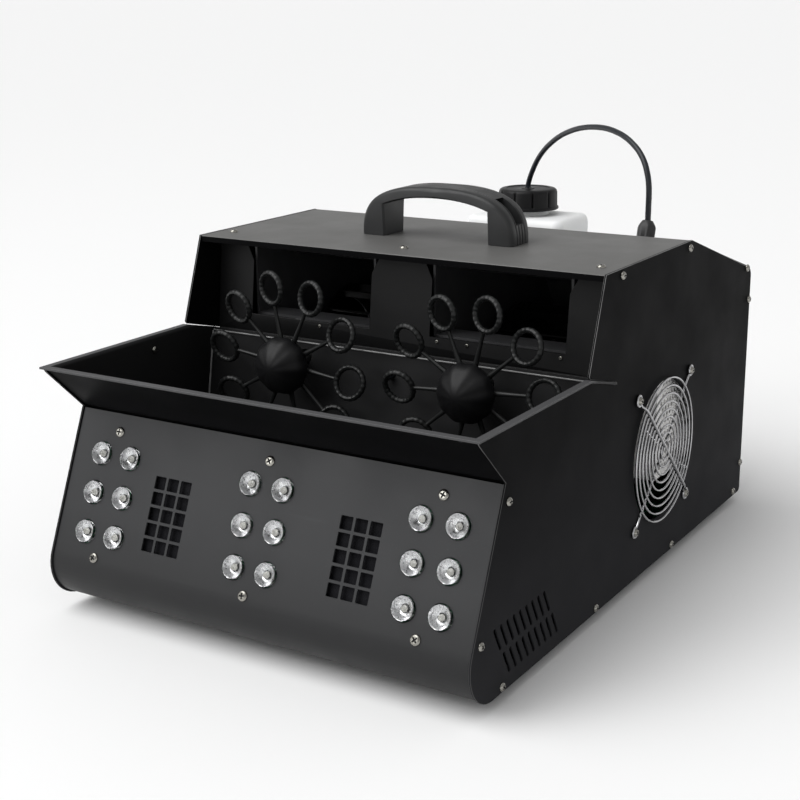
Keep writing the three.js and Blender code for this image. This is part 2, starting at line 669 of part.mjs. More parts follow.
const BLOWER_SHAFT = { radius: 3, end: 56 };

for (const [side, sign] of SIDES) {
  const span = (a, b) => [sign * a, sign * b].sort((p, q) => p - q);
  const shaftwise = (profile, x, segments) =>
    turnedX(profile.map(([r, h]) => [r, sign * h]), sign * x, BLOWER_Y, BLOWER_Z, segments);

  const [inner, outer] = BLOWER_X;
  const housing = cut(
    alongX(scroll(0), ...span(inner, outer)),
    alongX(scroll(BLOWER_WALL), ...span(inner + BLOWER_WALL, outer - BLOWER_WALL)),
    shaftwise(disc(46, -5, 5), outer, 28),
    shaftwise(disc(22.6, -5, 5), inner, 20),
  );
  add(`blower_housing_${side}`, 'black_plastic', housing);

  const hub = shaftwise(tubeWall(BLOWER_SHAFT.radius + GAP, 8, 37, 64), 0, 12);
  const plate = shaftwise(tubeWall(BLOWER_SHAFT.radius + GAP, IMPELLER_RADIUS, 36, 38), 0, 20);
  const ring = shaftwise(tubeWall(IMPELLER_RADIUS - 9, IMPELLER_RADIUS, 134, 136), 0, 20);
  let impeller = join(hub, plate, ring);
  for (let i = 0; i < IMPELLER_BLADES; i += 1) {
    const blade = new THREE.BoxGeometry(98, 9, 1.2).rotateX(0.5);
    blade.translate(sign * 86, 0, 0).translate(0, IMPELLER_RADIUS - 5, 0);
    blade.rotateX((TAU * i) / IMPELLER_BLADES).translate(0, BLOWER_Y, BLOWER_Z);
    impeller = join(impeller, solid(blade));
  }
  add(`blower_impeller_${side}`, 'black_plastic', impeller);

  add(`blower_motor_${side}`, 'zinc_steel', shaftwise([
    [0, 4], [22, 4], [22, 21.5], [27, 21.5], [27, inner - GAP], [22, inner - GAP], [22, 32],
    [BLOWER_SHAFT.radius, 32], [BLOWER_SHAFT.radius, BLOWER_SHAFT.end], [0, BLOWER_SHAFT.end],
  ], 0, 20));

  // Wire guard over the side intake: rings on two crossed wires that end in screw loops.
  const plane = HALF_WIDTH + 4.2;
  let guard = null;
  for (let i = 0; i < GUARD_RINGS; i += 1) {
    const radius = 9 + (i * (INTAKE_RADIUS + 1.5 - 9)) / (GUARD_RINGS - 1);
    const ring = new THREE.TorusGeometry(radius, 1.1, 3, 16).rotateY(TAU / 4);
    const wire = solid(ring.translate(sign * plane, INTAKE_Y, INTAKE_Z));
    guard = guard ? join(guard, wire) : wire;
  }
  for (const turn of [1, -1]) {
    const bar = new THREE.BoxGeometry(2, 2 * GUARD_BOLT_RADIUS - 6, 2).rotateX((turn * TAU) / 8);
    guard = join(guard, solid(bar.translate(sign * (HALF_WIDTH + 2.4), INTAKE_Y, INTAKE_Z)));
  }
  for (const [dy, dz] of regular(4, GUARD_BOLT_RADIUS, TAU / 8)) {
    const loop = new THREE.TorusGeometry(3.6, 1.1, 3, 8).rotateY(TAU / 4);
    guard = join(guard, solid(loop.translate(sign * (HALF_WIDTH + 2.2), INTAKE_Y + dy, INTAKE_Z + dz)));
  }
  add(`intake_guard_${side}`, 'chrome_wire', guard);
}

// ---------------------------------------------------------------- bottle, hose and gland

function bottleBody(shrink, neck) {
  const [w, d] = [BOTTLE.width / 2 - 10, BOTTLE.depth / 2 - 10];
  const height = BOTTLE.shoulder - BOTTLE.bottom;
  const bevel = 10 - shrink;
  const geometry = new THREE.ExtrudeGeometry(shapeOf(rounded(-w, w, -d, d, 6, 2)), {
    depth: height - 20, bevelEnabled: true, bevelSize: bevel, bevelThickness: bevel,
    bevelSegments: 3, curveSegments: 2,
  });
  geometry.translate(BOTTLE.x, BOTTLE.y, BOTTLE.bottom + 10);
  const throat = turnedZ(disc(neck, BOTTLE.shoulder - 14, CAP.top - 4 + shrink * 4),
    BOTTLE.x, BOTTLE.y, 0, 24);
  return join(solid(geometry), throat);
}
add('bottle', 'milky_plastic', cut(bottleBody(0, BOTTLE.neck), bottleBody(1.8, BOTTLE.neck - 2.2)));

add('bottle_cap', 'black_plastic', turnedZ([
  [HOSE_BORE, CAP.top - 3], [BOTTLE.neck + 1.2, CAP.top - 3], [BOTTLE.neck + 1.2, CAP.bottom],
  [CAP.radius + 1.2, CAP.bottom], [CAP.radius + 1.2, CAP.bottom + 2], [CAP.radius, CAP.bottom + 2.2],
  [CAP.radius, CAP.top - 1.2], [CAP.radius - 1.2, CAP.top], [HOSE_BORE, CAP.top],
  [HOSE_BORE, CAP.top - 3],
], BOTTLE.x, BOTTLE.y, 0, 24));

add('dip_tube', 'rubber',
  turnedZ(tubeWall(1.6, HOSE_RADIUS, BOTTLE.bottom + 8, CAP.top - 0.3), BOTTLE.x, BOTTLE.y, 0, 12));

// The shelf and strap behind the rear panel that hold the bottle.
function bottleBracket() {
  const x0 = BOTTLE.x - BOTTLE.width / 2 - 2;
  const x1 = BOTTLE.x + BOTTLE.width / 2 + 2;
  const back = BRACKET_BACK_Y;
  const shelfZ = BOTTLE.bottom - GAP - SHEET;
  const frame = join(
    block(x0 - SHEET, x1 + SHEET, 0, SHEET, shelfZ, 100),
    block(x0 - SHEET, x1 + SHEET, 0, back, shelfZ, shelfZ + SHEET),
    block(x0 - SHEET, x0, 0, back, shelfZ, 46),
    block(x1, x1 + SHEET, 0, back, shelfZ, 46),
    block(x0 - SHEET, x1 + SHEET, back - SHEET, back, shelfZ, 46),
    block(x0 - SHEET, x1 + SHEET, back - SHEET, back, 84, 100),
    block(x0 - SHEET, x0, 0, back, 84, 100),
    block(x1, x1 + SHEET, 0, back, 84, 100),
  );
  return frame;
}
add('bottle_bracket', 'housing_paint', bottleBracket());

add('gland_body', 'black_plastic', join(
  onSlope(disc(GLAND.radius, GAP, GLAND.bodyHeight), 0, 6),
  onSlope(tubeWall(HOSE_BORE, HOSE_BORE + 4, -12, GLAND.bodyHeight - 0.1), 0, 16),
).subtract(onSlope(disc(HOSE_BORE, -13, GLAND.bodyHeight + 1), 0, 16)));

const NUT_TOP = GLAND.bodyHeight + GLAND.nutHeight;
add('gland_nut', 'black_plastic', onSlope([
  [HOSE_BORE, GLAND.bodyHeight + GAP], [GLAND.radius, GLAND.bodyHeight + GAP],
  [GLAND.radius, NUT_TOP - 5], [GLAND.radius - 2, NUT_TOP - 1.6], [GLAND.radius - 4, NUT_TOP],
  [HOSE_BORE, NUT_TOP], [HOSE_BORE, GLAND.bodyHeight + GAP],
], 0));

// The feed hose's middle line, from the bottle cap over to the gland nut.
const GLAND_MOUTH = new THREE.Vector3(GLAND.x, GLAND.y, roofZ(GLAND.y))
  .addScaledVector(SLOPE_NORMAL, NUT_TOP + GAP);
const HOSE_ROUTE = [
  [BOTTLE.x, BOTTLE.y, CAP.top + GAP], [-61.3, 44.9, 258.6], [-59.5, 43.7, 264], [-54.3, 40, 273.5],
  [-47.2, 35.4, 284],
  [-36.8, 28.3, 294.7], [-24, 19.6, 304], [-11.5, 11, 311], [0.5, 3, 315.9], [12, -4.9, 319.5],
  [23.7, -12.7, 322.1], [35, -20.4, 323.6], [46.2, -28, 324.3], [57.2, -35.4, 324],
  [68, -42.8, 322.5], [78.8, -50.1, 319.7], [90, -57.7, 314.6], [99.5, -64.2, 307.9],
  [105.7, -68.4, 300.4], [109.4, -71, 292.4], [111.5, -72.3, 284.4], [112.4, -73, 275],
  [112.4, -73.1, 265], [...GLAND_MOUTH],
];
add('feed_hose', 'rubber', tube(HOSE_ROUTE, HOSE_RADIUS, 8, 36));

// ---------------------------------------------------------------- pump and inner tubes

const PUMP = { x: 0, y: -52, z: 58, radius: 21 };
{
  const { x, y, z, radius } = PUMP;
  const body = cut(
    join(
      block(x - 24, x + 24, y - 12, y + 12, z - 24, z + 24),
      block(x - 34, x + 34, y - 12, y + 12, INSET + SHEET + GAP, INSET + SHEET + GAP + 3),
      block(x - 24, x + 24, y - 12, y + 12, INSET + SHEET + GAP, z - 20),
      turnedForward(disc(18, -38, -10), x, y, z, 20),
    ),
    turnedForward(disc(radius, -6, 14), x, y, z, 24),
    block(x - 5, x + 5, y - 14, y + 4, z, z + 26),
  );
  add('pump_body', 'black_plastic', body);

  let rotor = turnedForward(disc(8, -5, 9), 0, 0, 0, 16);
  for (const [dx, dz] of regular(3, 13.5)) {
    rotor = join(rotor, turnedForward(disc(4.6, -4, 8), dx, 0, dz, 12));
    const web = new THREE.BoxGeometry(14, 2, 5).translate(7, 3, 0).rotateY(-Math.atan2(dz, dx));
    rotor = join(rotor, solid(web));
  }
  add('pump_rotor', 'milky_plastic', rotor.translate([x, y, z]));
}

const GLAND_TAIL = new THREE.Vector3(GLAND.x, GLAND.y, roofZ(GLAND.y))
  .addScaledVector(SLOPE_NORMAL, -12 - GAP);
add('suction_tube', 'milky_plastic', tube([
  [...GLAND_TAIL], [112.5, -86, 207], [108, -78, 196], [92, -56, 184], [60, -34, 165],
  [26, -28, 140], [6, -40, 114], [3, -56, 100], [3, -60, 92], [3, -60, 84.4],
], HOSE_RADIUS, 8, 20));
add('delivery_tube', 'milky_plastic', tube([
  [-29, -57, 40], [-29, -75, 34], [-22, -100, 22], [-8, -140, 17], [0, -190, 16], [0, -245, 18],
  [0, -272, 32], [0, -282, 60], [0, -284, 100], [0, -284.6, 136], [0, -289, 150],
  [0, -297, SPOUT_Z - 0.6], [0, -306, SPOUT_Z], [0, -315, SPOUT_Z - 1],
], HOSE_RADIUS, 8, 28));

// ---------------------------------------------------------------- electrics

add('control_board', 'board_green', join(
  block(76, 154, -128, -62, 10, 11.6),
  block(82, 104, -122, -104, 11, 20), block(112, 124, -80, -68, 11, 24),
  block(130, 140, -80, -70, 11, 22), block(144, 151, -120, -78, 11, 19),
  ...[[80, -124], [150, -124], [80, -66], [150, -66]].map(([x, y]) =>
    turnedZ(disc(3, INSET + SHEET + GAP, 10.5), x, y, 0, 8)),
));

// The power supply stands beside the right blower, on tabs against the side panel.
{
  const { x0, x1, y0, y1, z0, z1 } = SUPPLY;
  add('power_supply', 'zinc_steel', join(
    block(x0, x1, y0, y1, z0, z1),
    block(x1 - 1, HALF_INNER, y1 - 16, y1 - 1, z0 + 6, z1 - 6),
    block(x1 - 1, HALF_INNER, y0 + 34, y1 - 1, z1 - 3, z1 - 1),
  ));
}

{
  const [x, z] = INLET_AT;
  add('power_inlet', 'black_plastic', cut(
    join(
      alongY(shifted(rounded(-15.5, 15.5, -12.5, 12.5, 3, 2), x, z), 0, 3),
      alongY(shifted(rounded(-13.8, 13.8, -10, 10, 3, 2), x, z), -22, 0.1),
    ),
    alongY(shifted(rounded(-11.5, 11.5, -7.7, 7.7, 3, 2), x, z), -16, 4),
  ));
}
{
  const [x, z] = SWITCH_AT;
  const opening = shifted(rectangle(-6, 6, -9, 9), x, z);
  add('switch_body', 'black_plastic', cut(
    join(
      alongY(shifted(rounded(-8.5, 8.5, -12.5, 12.5, 1.5, 2), x, z), 0, 2),
      alongY(shifted(rectangle(-7, 7, -10, 10), x, z), -14, 0.1),
    ),
    alongY(opening, -11, 3),
  ));
  // The rocker rests with its lower end pressed in, and turns about a pin just behind its face.
  const tilt = THREE.MathUtils.degToRad(ROCKER_TILT);
  const rocker = [[-7.8, 0], [7.8, 0], [8, 4.4], [0, 3.2], [-8, 4.4]].map(([u, v]) => [
    ROCKER_PIN_Y + v * Math.cos(tilt) + u * Math.sin(tilt), z + u * Math.cos(tilt) - v * Math.sin(tilt),
  ]);
  add('switch_rocker', 'black_plastic', alongX(rocker, x - 5.6, x + 5.6));
}
DMX_AT.forEach(([x, z], i) => {
  const socket = join(
    alongY(shifted(rounded(-13, 13, -15.5, 15.5, 3, 2), x, z), 0, 2.2),
    turnedForward(disc(11.9, -0.1, 15.8), x, 0, z, 16),
  );
  const hollow = turnedForward(disc(8.8, -4, 12), x, 0, z, 16);
  add(['dmx_in', 'dmx_out'][i], 'zinc_steel', cut(socket, hollow));
});

// The menu panel: a bezel with a display window and four push buttons below it.
{
  const [x, z] = DISPLAY_AT;
  const buttonX = [-24, -8, 8, 24].map((dx) => x + dx);
  const buttonZ = z - 11;
  const radius = 4;
  const bezel = join(
    alongY(shifted(rounded(-42, 42, -27, 27, 3, 2), x, z), 0, 2),
    alongY(shifted(rectangle(-35, 35, -20, 20), x, z), -5, 0.1),
  );
  const holes = buttonX.map((bx) => turnedForward(disc(radius + GAP, -8, 8), bx, 0, buttonZ, 12));
  const screen = alongY(shifted(rectangle(-26, 26, 1, 16), x, z), 1.2, 4);
  add('display_bezel', 'black_plastic', cut(bezel, screen, ...holes));
  buttonX.forEach((bx, i) => {
    add(`menu_button_${i + 1}`, 'gloss_plastic',
      turnedForward(disc(radius, -4, 4.6 - BUTTON_TRAVEL), bx, 0, buttonZ, 12));
  });
}

// ---------------------------------------------------------------- the whole machine

machine.position.set(0, -(TOE_TIP_Y + BRACKET_BACK_Y) / 2, FOOT_HEIGHT);

export default new THREE.Group().add(machine);
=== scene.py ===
"""A stage bubble machine: two wand wheels over an open pan, an LED front and a feed bottle behind.

Shapes are drawn in millimetres in the housing's own frame, where X = 0 is the middle, Y = 0 the
rear face and Z = 0 the side panels' lower edge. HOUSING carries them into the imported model's frame.
"""

from math import atan2, copysign, cos, degrees, exp, pi, radians, sin, sqrt

import bpy
from mathutils import Matrix, Quaternion, Vector
from mathutils.geometry import tessellate_polygon


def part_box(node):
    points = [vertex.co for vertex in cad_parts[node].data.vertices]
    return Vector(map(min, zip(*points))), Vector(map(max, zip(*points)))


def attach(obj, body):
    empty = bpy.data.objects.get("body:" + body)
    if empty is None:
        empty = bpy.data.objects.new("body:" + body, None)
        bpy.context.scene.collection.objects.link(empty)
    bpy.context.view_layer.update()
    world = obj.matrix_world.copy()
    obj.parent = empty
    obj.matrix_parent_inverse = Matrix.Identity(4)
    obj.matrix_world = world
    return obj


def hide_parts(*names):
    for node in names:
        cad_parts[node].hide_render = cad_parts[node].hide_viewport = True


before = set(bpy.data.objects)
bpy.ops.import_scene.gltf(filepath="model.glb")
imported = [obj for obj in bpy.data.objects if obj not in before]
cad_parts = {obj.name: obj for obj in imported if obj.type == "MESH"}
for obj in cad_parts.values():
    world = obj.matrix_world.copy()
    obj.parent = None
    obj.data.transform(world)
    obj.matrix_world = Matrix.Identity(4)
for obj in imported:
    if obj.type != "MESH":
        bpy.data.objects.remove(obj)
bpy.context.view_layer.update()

TAU = 2 * pi
SIDES = (("left", -1), ("right", 1))
panel_low, panel_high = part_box("side_panel_right")
HOUSING = Matrix.Translation((0, panel_high[1], panel_low[2])) @ Matrix.Scale(0.001, 4)


def housing_box(node):
    """A CAD node's lowest and highest corners, in mm in the housing's frame."""
    low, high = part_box(node)
    back = HOUSING.inverted()
    return back @ Vector(low), back @ Vector(high)


def put(name, data):
    """A new object in the scene."""
    obj = bpy.data.objects.new(name, data)
    bpy.context.scene.collection.objects.link(obj)
    return obj


# ------ camera

CAMERA_AT = Vector((0.5844, -1.0209, 0.4544))
CAMERA_AZIMUTH, CAMERA_ELEVATION, CAMERA_ROLL = 31.94, 15.84, -0.634  # degrees
CAMERA_LENS, CAMERA_SENSOR = 65.63, 36


def make_camera():
    data = bpy.data.cameras.new("camera")
    data.sensor_width, data.lens = CAMERA_SENSOR, CAMERA_LENS
    data.clip_start, data.clip_end = 0.05, 1000
    camera = put("camera", data)
    azimuth, elevation = radians(CAMERA_AZIMUTH), radians(CAMERA_ELEVATION)
    back = Vector((sin(azimuth) * cos(elevation), -cos(azimuth) * cos(elevation), sin(elevation)))
    roll = Quaternion((0, 0, 1), radians(CAMERA_ROLL))
    camera.rotation_mode = "QUATERNION"
    camera.rotation_quaternion = (-back).to_track_quat("-Z", "Y") @ roll
    camera.location = CAMERA_AT
    bpy.context.scene.camera = camera


make_camera()


# ------ materials


def fill(node, **inputs):
    """Sets a node's inputs: each to a number or a colour, or linked to another node's output."""
    for name, value in inputs.items():
        socket = node.inputs[name.replace("_", " ")]
        if isinstance(value, bpy.types.NodeSocket):
            node.id_data.links.new(value, socket)
        else:
            socket.default_value = value
    return node


def new_node(tree, kind, **inputs):
    return fill(tree.nodes.new("ShaderNode" + kind), **inputs)


def scaled(colour, times, plus=0.0):
    return [c * times + plus for c in colour]


def graded(value, start, end, low, high):
    """A node output's stretch from start to end, spread over low to high."""
    return new_node(value.id_data, "MapRange", Value=value, From_Min=start, From_Max=end,
                    To_Min=low, To_Max=high).outputs["Result"]


class Finish:
    """A procedural material being built on one Principled shader."""

    def __init__(self, name, colour, roughness, metallic=0.0, **settings):
        self.material = bpy.data.materials.new(name)
        self.material.use_nodes = True
        self.tree = self.material.node_tree
        self.colour, self.roughness = (*colour, 1), roughness
        self.shader = fill(self.tree.nodes["Principled BSDF"], Base_Color=self.colour,
                           Roughness=roughness, Metallic=metallic, **settings)
        self.coords = new_node(self.tree, "TexCoord").outputs["Object"]

    def noise(self, scale, detail, stretch=None):
        """Noise of so many cells to a metre, drawn out along one direction if stretch says so."""
        source = self.coords
        if stretch:
            source = new_node(self.tree, "Mapping", Vector=source, Scale=stretch).outputs["Vector"]
        return new_node(self.tree, "TexNoise", Vector=source, Scale=scale, Detail=detail).outputs["Fac"]

    def cells(self, scale):
        """Distance from the nearest of scattered points, so many to a metre."""
        return new_node(self.tree, "TexVoronoi", Vector=self.coords, Scale=scale).outputs["Distance"]

    def height(self):
        """Height over the floor, in metres."""
        return new_node(self.tree, "SeparateXYZ", Vector=self.coords).outputs["Z"]

    def tint(self, mask, colour):
        """Mixes a colour over what is there, by the mask."""
        mix = self.tree.nodes.new("ShaderNodeMix")
        mix.data_type = "RGBA"
        base = self.shader.inputs["Base Color"]
        below = base.links[0].from_socket if base.is_linked else self.colour
        fill(mix, Factor=mask, A=below, B=(*colour, 1))
        self.tree.links.new(mix.outputs["Result"], base)

    def uneven(self, scale, spread):
        """Lets the roughness wander by so much either way."""
        value = graded(self.noise(scale, 4), 0.3, 0.7, self.roughness - spread, self.roughness + spread)
        fill(self.shader, Roughness=value)

    def grain(self, height, depth, strength):
        """Raises the surface by a pattern, depth in metres."""
        bump = new_node(self.tree, "Bump", Height=height, Strength=strength, Distance=depth)
        normal = self.shader.inputs["Normal"]
        if normal.is_linked:
            fill(bump, Normal=normal.links[0].from_socket)
        fill(self.shader, Normal=bump.outputs["Normal"])


def powder_coat(name, colour, roughness, sheen, clouds=0.14, band=None):
    """Fine-textured black paint, with a little dust and a few rubs.

    band paints light or shade by height: a height, a height where it has faded out, and how much of what
    multiple of the colour shows.
    """
    paint = Finish(name, colour, roughness, Specular_IOR_Level=sheen)
    paint.tint(graded(paint.noise(9, 4), 0.35, 0.75, 0, clouds), scaled(colour, 1.7, 0.004))
    rubs = paint.noise(14, 5, (1, 1, 9))
    paint.tint(graded(rubs, 0.66, 0.8, 0, clouds), scaled(colour, 2.4, 0.01))
    dust = paint.cells(260)
    paint.tint(graded(dust, 0.0, 0.09, 0.5, 0), scaled(colour, 3, 0.03))
    # painted light or painted shade, graded by height
    if band:
        start, end, share, multiple = band
        paint.tint(graded(paint.height(), start, end, share, 0), scaled(colour, multiple))
    paint.uneven(22, 0.06)
    paint.grain(paint.noise(1500, 2), 0.00006, 0.5)
    paint.grain(paint.noise(160, 2), 0.00005, 0.25)
    return paint.material


def edge_highlight(name, low, high):
    """Painted highlight for chamfered edges: one grey low down, another on the hood."""
    paint = Finish(name, (low, low, low), 0.38, Specular_IOR_Level=0.35)
    # brighter above this height, where the hood's edges catch the light: painted highlight
    paint.tint(graded(paint.height(), 0.178, 0.198, 0, 1), (high, high, high))
    paint.tint(graded(paint.noise(60, 4), 0.45, 0.7, 0, 0.6), (0.06, 0.06, 0.06))
    paint.uneven(90, 0.06)
    paint.grain(paint.noise(1500, 2), 0.00005, 0.5)
    return paint.material


def moulded(name, colour, roughness, grain=0.00005, sheen=0.5, coat=0.0):
    """Moulded plastic with a fine even grain and handling marks."""
    plastic = Finish(name, colour, roughness, Specular_IOR_Level=sheen, Coat_Weight=coat)
    plastic.tint(graded(plastic.noise(35, 3), 0.35, 0.75, 0, 0.5), scaled(colour, 1.6, 0.004))
    plastic.uneven(60, 0.07)
    plastic.grain(plastic.noise(1100, 2), grain, 0.5)
    return plastic.material


def plated(name, colour, roughness, grain=0.00002):
    """Bright or zinc plating: slightly clouded, with fine hairlines."""
    metal = Finish(name, colour, roughness, 1.0)
    metal.tint(graded(metal.noise(180, 3), 0.4, 0.75, 0, 0.6), scaled(colour, 0.72))
    metal.uneven(240, min(0.08, roughness * 0.6))
    metal.grain(metal.noise(700, 3, (1, 6, 1)), grain, 0.4)
    return metal.material


def milky():
    """Blow-moulded polyethylene, clouded and a little uneven."""
    plastic = Finish("bottle_plastic", (0.88, 0.89, 0.89), 0.42, Subsurface_Weight=0.35,
                     Subsurface_Scale=0.012, Subsurface_Radius=(1.0, 1.0, 0.95), Specular_IOR_Level=0.4)
    plastic.tint(graded(plastic.noise(12, 3), 0.35, 0.7, 0, 0.6), (0.78, 0.79, 0.79))
    plastic.uneven(30, 0.08)
    plastic.grain(plastic.noise(60, 2), 0.0004, 0.3)
    return plastic.material


def circuit_board():
    """Green solder mask with copper tracks showing through and small pads."""
    board = Finish("circuit_board", (0.03, 0.16, 0.08), 0.35)
    board.tint(graded(board.noise(420, 1, (1, 5, 1)), 0.5, 0.56, 0, 0.5), (0.09, 0.3, 0.14))
    board.tint(graded(board.cells(330), 0.02, 0.16, 1, 0), (0.62, 0.6, 0.52))
    board.grain(board.noise(420, 1, (1, 5, 1)), 0.00005, 0.4)
    return board.material


def lens_glass():
    """Clear acrylic with a fine cellular face."""
    glass = Finish("lens_acrylic", (0.97, 0.98, 0.98), 0.06, Transmission_Weight=1.0, IOR=1.3)
    glass.uneven(500, 0.03)
    glass.grain(glass.cells(1000), 0.00012, 0.5)
    return glass.material


def reflector():
    """Bright plating with a fine net of dimples, each darker in its middle: painted shade."""
    metal = Finish("lens_reflector", (0.8, 0.8, 0.81), 0.3, 1.0)
    # painted shade in the middle of each dimple
    metal.tint(graded(metal.cells(720), 0.16, 0.34, 0.85, 0), (0.16, 0.17, 0.17))
    metal.uneven(240, 0.08)
    metal.grain(metal.cells(720), 0.0002, 0.5)
    return metal.material


# The powder coats below are one black paint in lit and shaded copies. Each colour is set to how bright its
# sheets show under the light: painted light and shade. This darkest copy is for the shaded sides, and it
# grows lighter towards the floor, a painted glow of light off the floor.
PAINT = powder_coat("housing_powder_coat", (0.0035, 0.0035, 0.0038), 0.46, 0.014, 0.1,
                    band=(0, 0.17, 0.8, 9))
# A lighter copy of the black coat for the tray, rear panel and bracket: painted light. It is lighter still
# above 0.187 m, more painted light.
LIT_TRAY_PAINT = powder_coat("tray_powder_coat_painted_light", (0.014, 0.014, 0.0145), 0.46, 0.12,
                         band=(0.1897, 0.187, 0.8, 6))
# A lighter copy of the black coat for the LED front, which is painted light. It is darker near the floor
# where the toe curves under, which is painted shade.
FRONT_LIT_SHADED_PAINT = powder_coat("front_powder_coat_painted_light_and_shade", (0.021, 0.0215, 0.023), 0.46, 0.3,
                          band=(0.02, 0.085, 0.85, 0.2))
# A much lighter copy of the black coat for the roof's top: a painted reflection of the light.
ROOF_LIT_PAINT = powder_coat("roof_powder_coat_painted_light", (0.1, 0.099, 0.096), 0.48, 0.5)
# The fascia's copy of the black coat, set to how bright the fascia shows under the light: painted light.
FASCIA_PAINT = powder_coat("fascia_powder_coat", (0.007, 0.007, 0.0073), 0.42, 0.18)
EDGE_HIGHLIGHT = edge_highlight("painted_edge_highlight", 0.035, 0.22)
# bright grey for beads that stand for highlights: painted highlight
HIGHLIGHT_BEAD = edge_highlight("painted_highlight_bead", 0.3, 0.3)
BLACK_PLASTIC = moulded("black_plastic", (0.017, 0.0175, 0.018), 0.42, sheen=0.4)
CAP_PLASTIC = moulded("cap_plastic", (0.006, 0.006, 0.0065), 0.4, sheen=0.2)
WAND_PLASTIC = moulded("wand_plastic", (0.009, 0.0095, 0.0095), 0.36, 0.00003, sheen=0.3)
GLOSS_PLASTIC = moulded("gloss_plastic", (0.014, 0.0145, 0.015), 0.22, 0.00002, coat=0.3)
DUCT_PLASTIC = moulded("duct_plastic", (0.04, 0.04, 0.042), 0.45, sheen=0.4)
FAN_PLASTIC = moulded("fan_plastic", (0.004, 0.004, 0.004), 0.6, sheen=0.1)
CHROME = plated("chrome", (0.46, 0.46, 0.47), 0.06)
SCREW_STEEL = plated("screw_steel", (0.34, 0.33, 0.30), 0.22)
ZINC = plated("zinc_steel", (0.50, 0.51, 0.52), 0.36)
GALVANISED = moulded("galvanised_steel", (0.9, 0.89, 0.88), 0.4)
REFLECTOR = reflector()
MILKY = milky()
LENS = lens_glass()
BOARD = circuit_board()
LED_CHIP = moulded("led_chip", (0.34, 0.335, 0.31), 0.3)
VENT_FOAM = moulded("vent_filter_foam", (0.006, 0.006, 0.0075), 0.8, 0.0012, sheen=0.1)
# near-black for painted shade: in the screws' cross recesses, round the LED chips and in the supply's core
PAINTED_SHADE = moulded("painted_shade_black", (0.006, 0.006, 0.006), 0.7)
RUBBER = moulded("rubber", (0.012, 0.012, 0.0125), 0.7, 0.0001)
HOSE = moulded("hose_vinyl", (0.010, 0.012, 0.016), 0.3, 0.00002, sheen=0.4)
SCREEN = moulded("display_glass", (0.004, 0.004, 0.006), 0.08, 0.000005, coat=0.6)
DARK_SEGMENT = moulded("unlit_segment", (0.03, 0.012, 0.012), 0.2, 0.000005)
BRASS = plated("contact_brass", (0.75, 0.58, 0.3), 0.25)


# ------ shapes

ALONG_X = Matrix(((0, 0, 1, 0), (1, 0, 0, 0), (0, 1, 0, 0), (0, 0, 0, 1)))  # outline in Y and Z


def facing(normal, at, up=(0, 0, 1)):
    """A place at a point whose own Z is the normal and whose own Y leans towards up."""
    z = Vector(normal).normalized()
    x = Vector(up).cross(z).normalized()
    y = z.cross(x)
    return Matrix.Translation(at) @ Matrix((x, y, z)).transposed().to_4x4()


def circle(radius, count, x=0.0, y=0.0, turn=0.0):
    angles = [turn + TAU * i / count for i in range(count)]
    return [(x + radius * cos(a), y + radius * sin(a)) for a in angles]


def level(points, z):
    return [(x, y, z) for x, y in points]


def polar(count, z, reach):
    """One level of a skinned piece, with its radius at each angle given by reach."""
    angles = [TAU * i / count for i in range(count)]
    return [(reach(a) * cos(a), reach(a) * sin(a), z) for a in angles]


def arc(x, y, radius, start, end, steps):
    """Points on a circle's arc, from start to end in degrees."""
    angles = [radians(start + (end - start) * i / steps) for i in range(steps + 1)]
    return [(x + radius * cos(a), y + radius * sin(a)) for a in angles]


def rounded(x0, x1, y0, y1, radius, steps=6):
    corners = ((x1, y0, -90), (x1, y1, 0), (x0, y1, 90), (x0, y0, 180))
    points = []
    for x, y, start in corners:
        cx = x - radius if x == x1 else x + radius
        cy = y - radius if y == y1 else y + radius
        points += arc(cx, cy, radius, start, start + 90, steps)
    return points


def rectangle(x0, x1, y0, y1):
    return [(x0, y0), (x1, y0), (x1, y1), (x0, y1)]


def slot(start, end, width):
    """A slot with round ends between two centres."""
    angle = degrees(atan2(end[1] - start[1], end[0] - start[0]))
    return (arc(*end, width / 2, angle - 90, angle + 90, 5)
            + arc(*start, width / 2, angle + 90, angle + 270, 5))


def wound(loop, sign):
    """The loop, turned anticlockwise for sign 1 and clockwise for sign -1."""
    area = sum(a[0] * b[1] - b[0] * a[1] for a, b in zip(loop, loop[1:] + loop[:1]))
    return list(loop) if area * sign > 0 else list(loop)[::-1]


def inset(loop, distance):
    """The loop moved to its own left."""
    if not distance:
        return list(loop)
    points = []
    for i, point in enumerate(loop):
        p, before, after = Vector(point), Vector(loop[i - 1]), Vector(loop[(i + 1) % len(loop)])
        a, b = (p - before).normalized(), (after - p).normalized()
        left = Vector((-a.y - b.y, a.x + b.x))
        left *= 2 / max(left.length_squared, 0.5)
        points.append(tuple(p + left * distance))
    return points


def folded(path, thickness, bend=1.5, steps=4):
    """The section of a sheet folded along a path, to the path's left, with rounded folds."""
    centre, path = [path[0]], [Vector(point) for point in path]
    for a, b, c in zip(path, path[1:], path[2:]):
        reach = min(bend, (b - a).length * 0.45, (c - b).length * 0.45)
        start, end = b + (a - b).normalized() * reach, b + (c - b).normalized() * reach
        for i in range(steps + 1):
            t = i / steps
            centre.append(tuple(start * (1 - t) ** 2 + b * 2 * t * (1 - t) + end * t ** 2))
    centre.append(tuple(path[-1]))
    other = []
    for i, point in enumerate(centre):
        before, after = Vector(centre[max(i - 1, 0)]), Vector(centre[min(i + 1, len(centre) - 1)])
        along = (after - before).normalized()
        other.append(tuple(Vector(point) + Vector((-along.y, along.x)) * thickness))
    return centre + other[::-1]


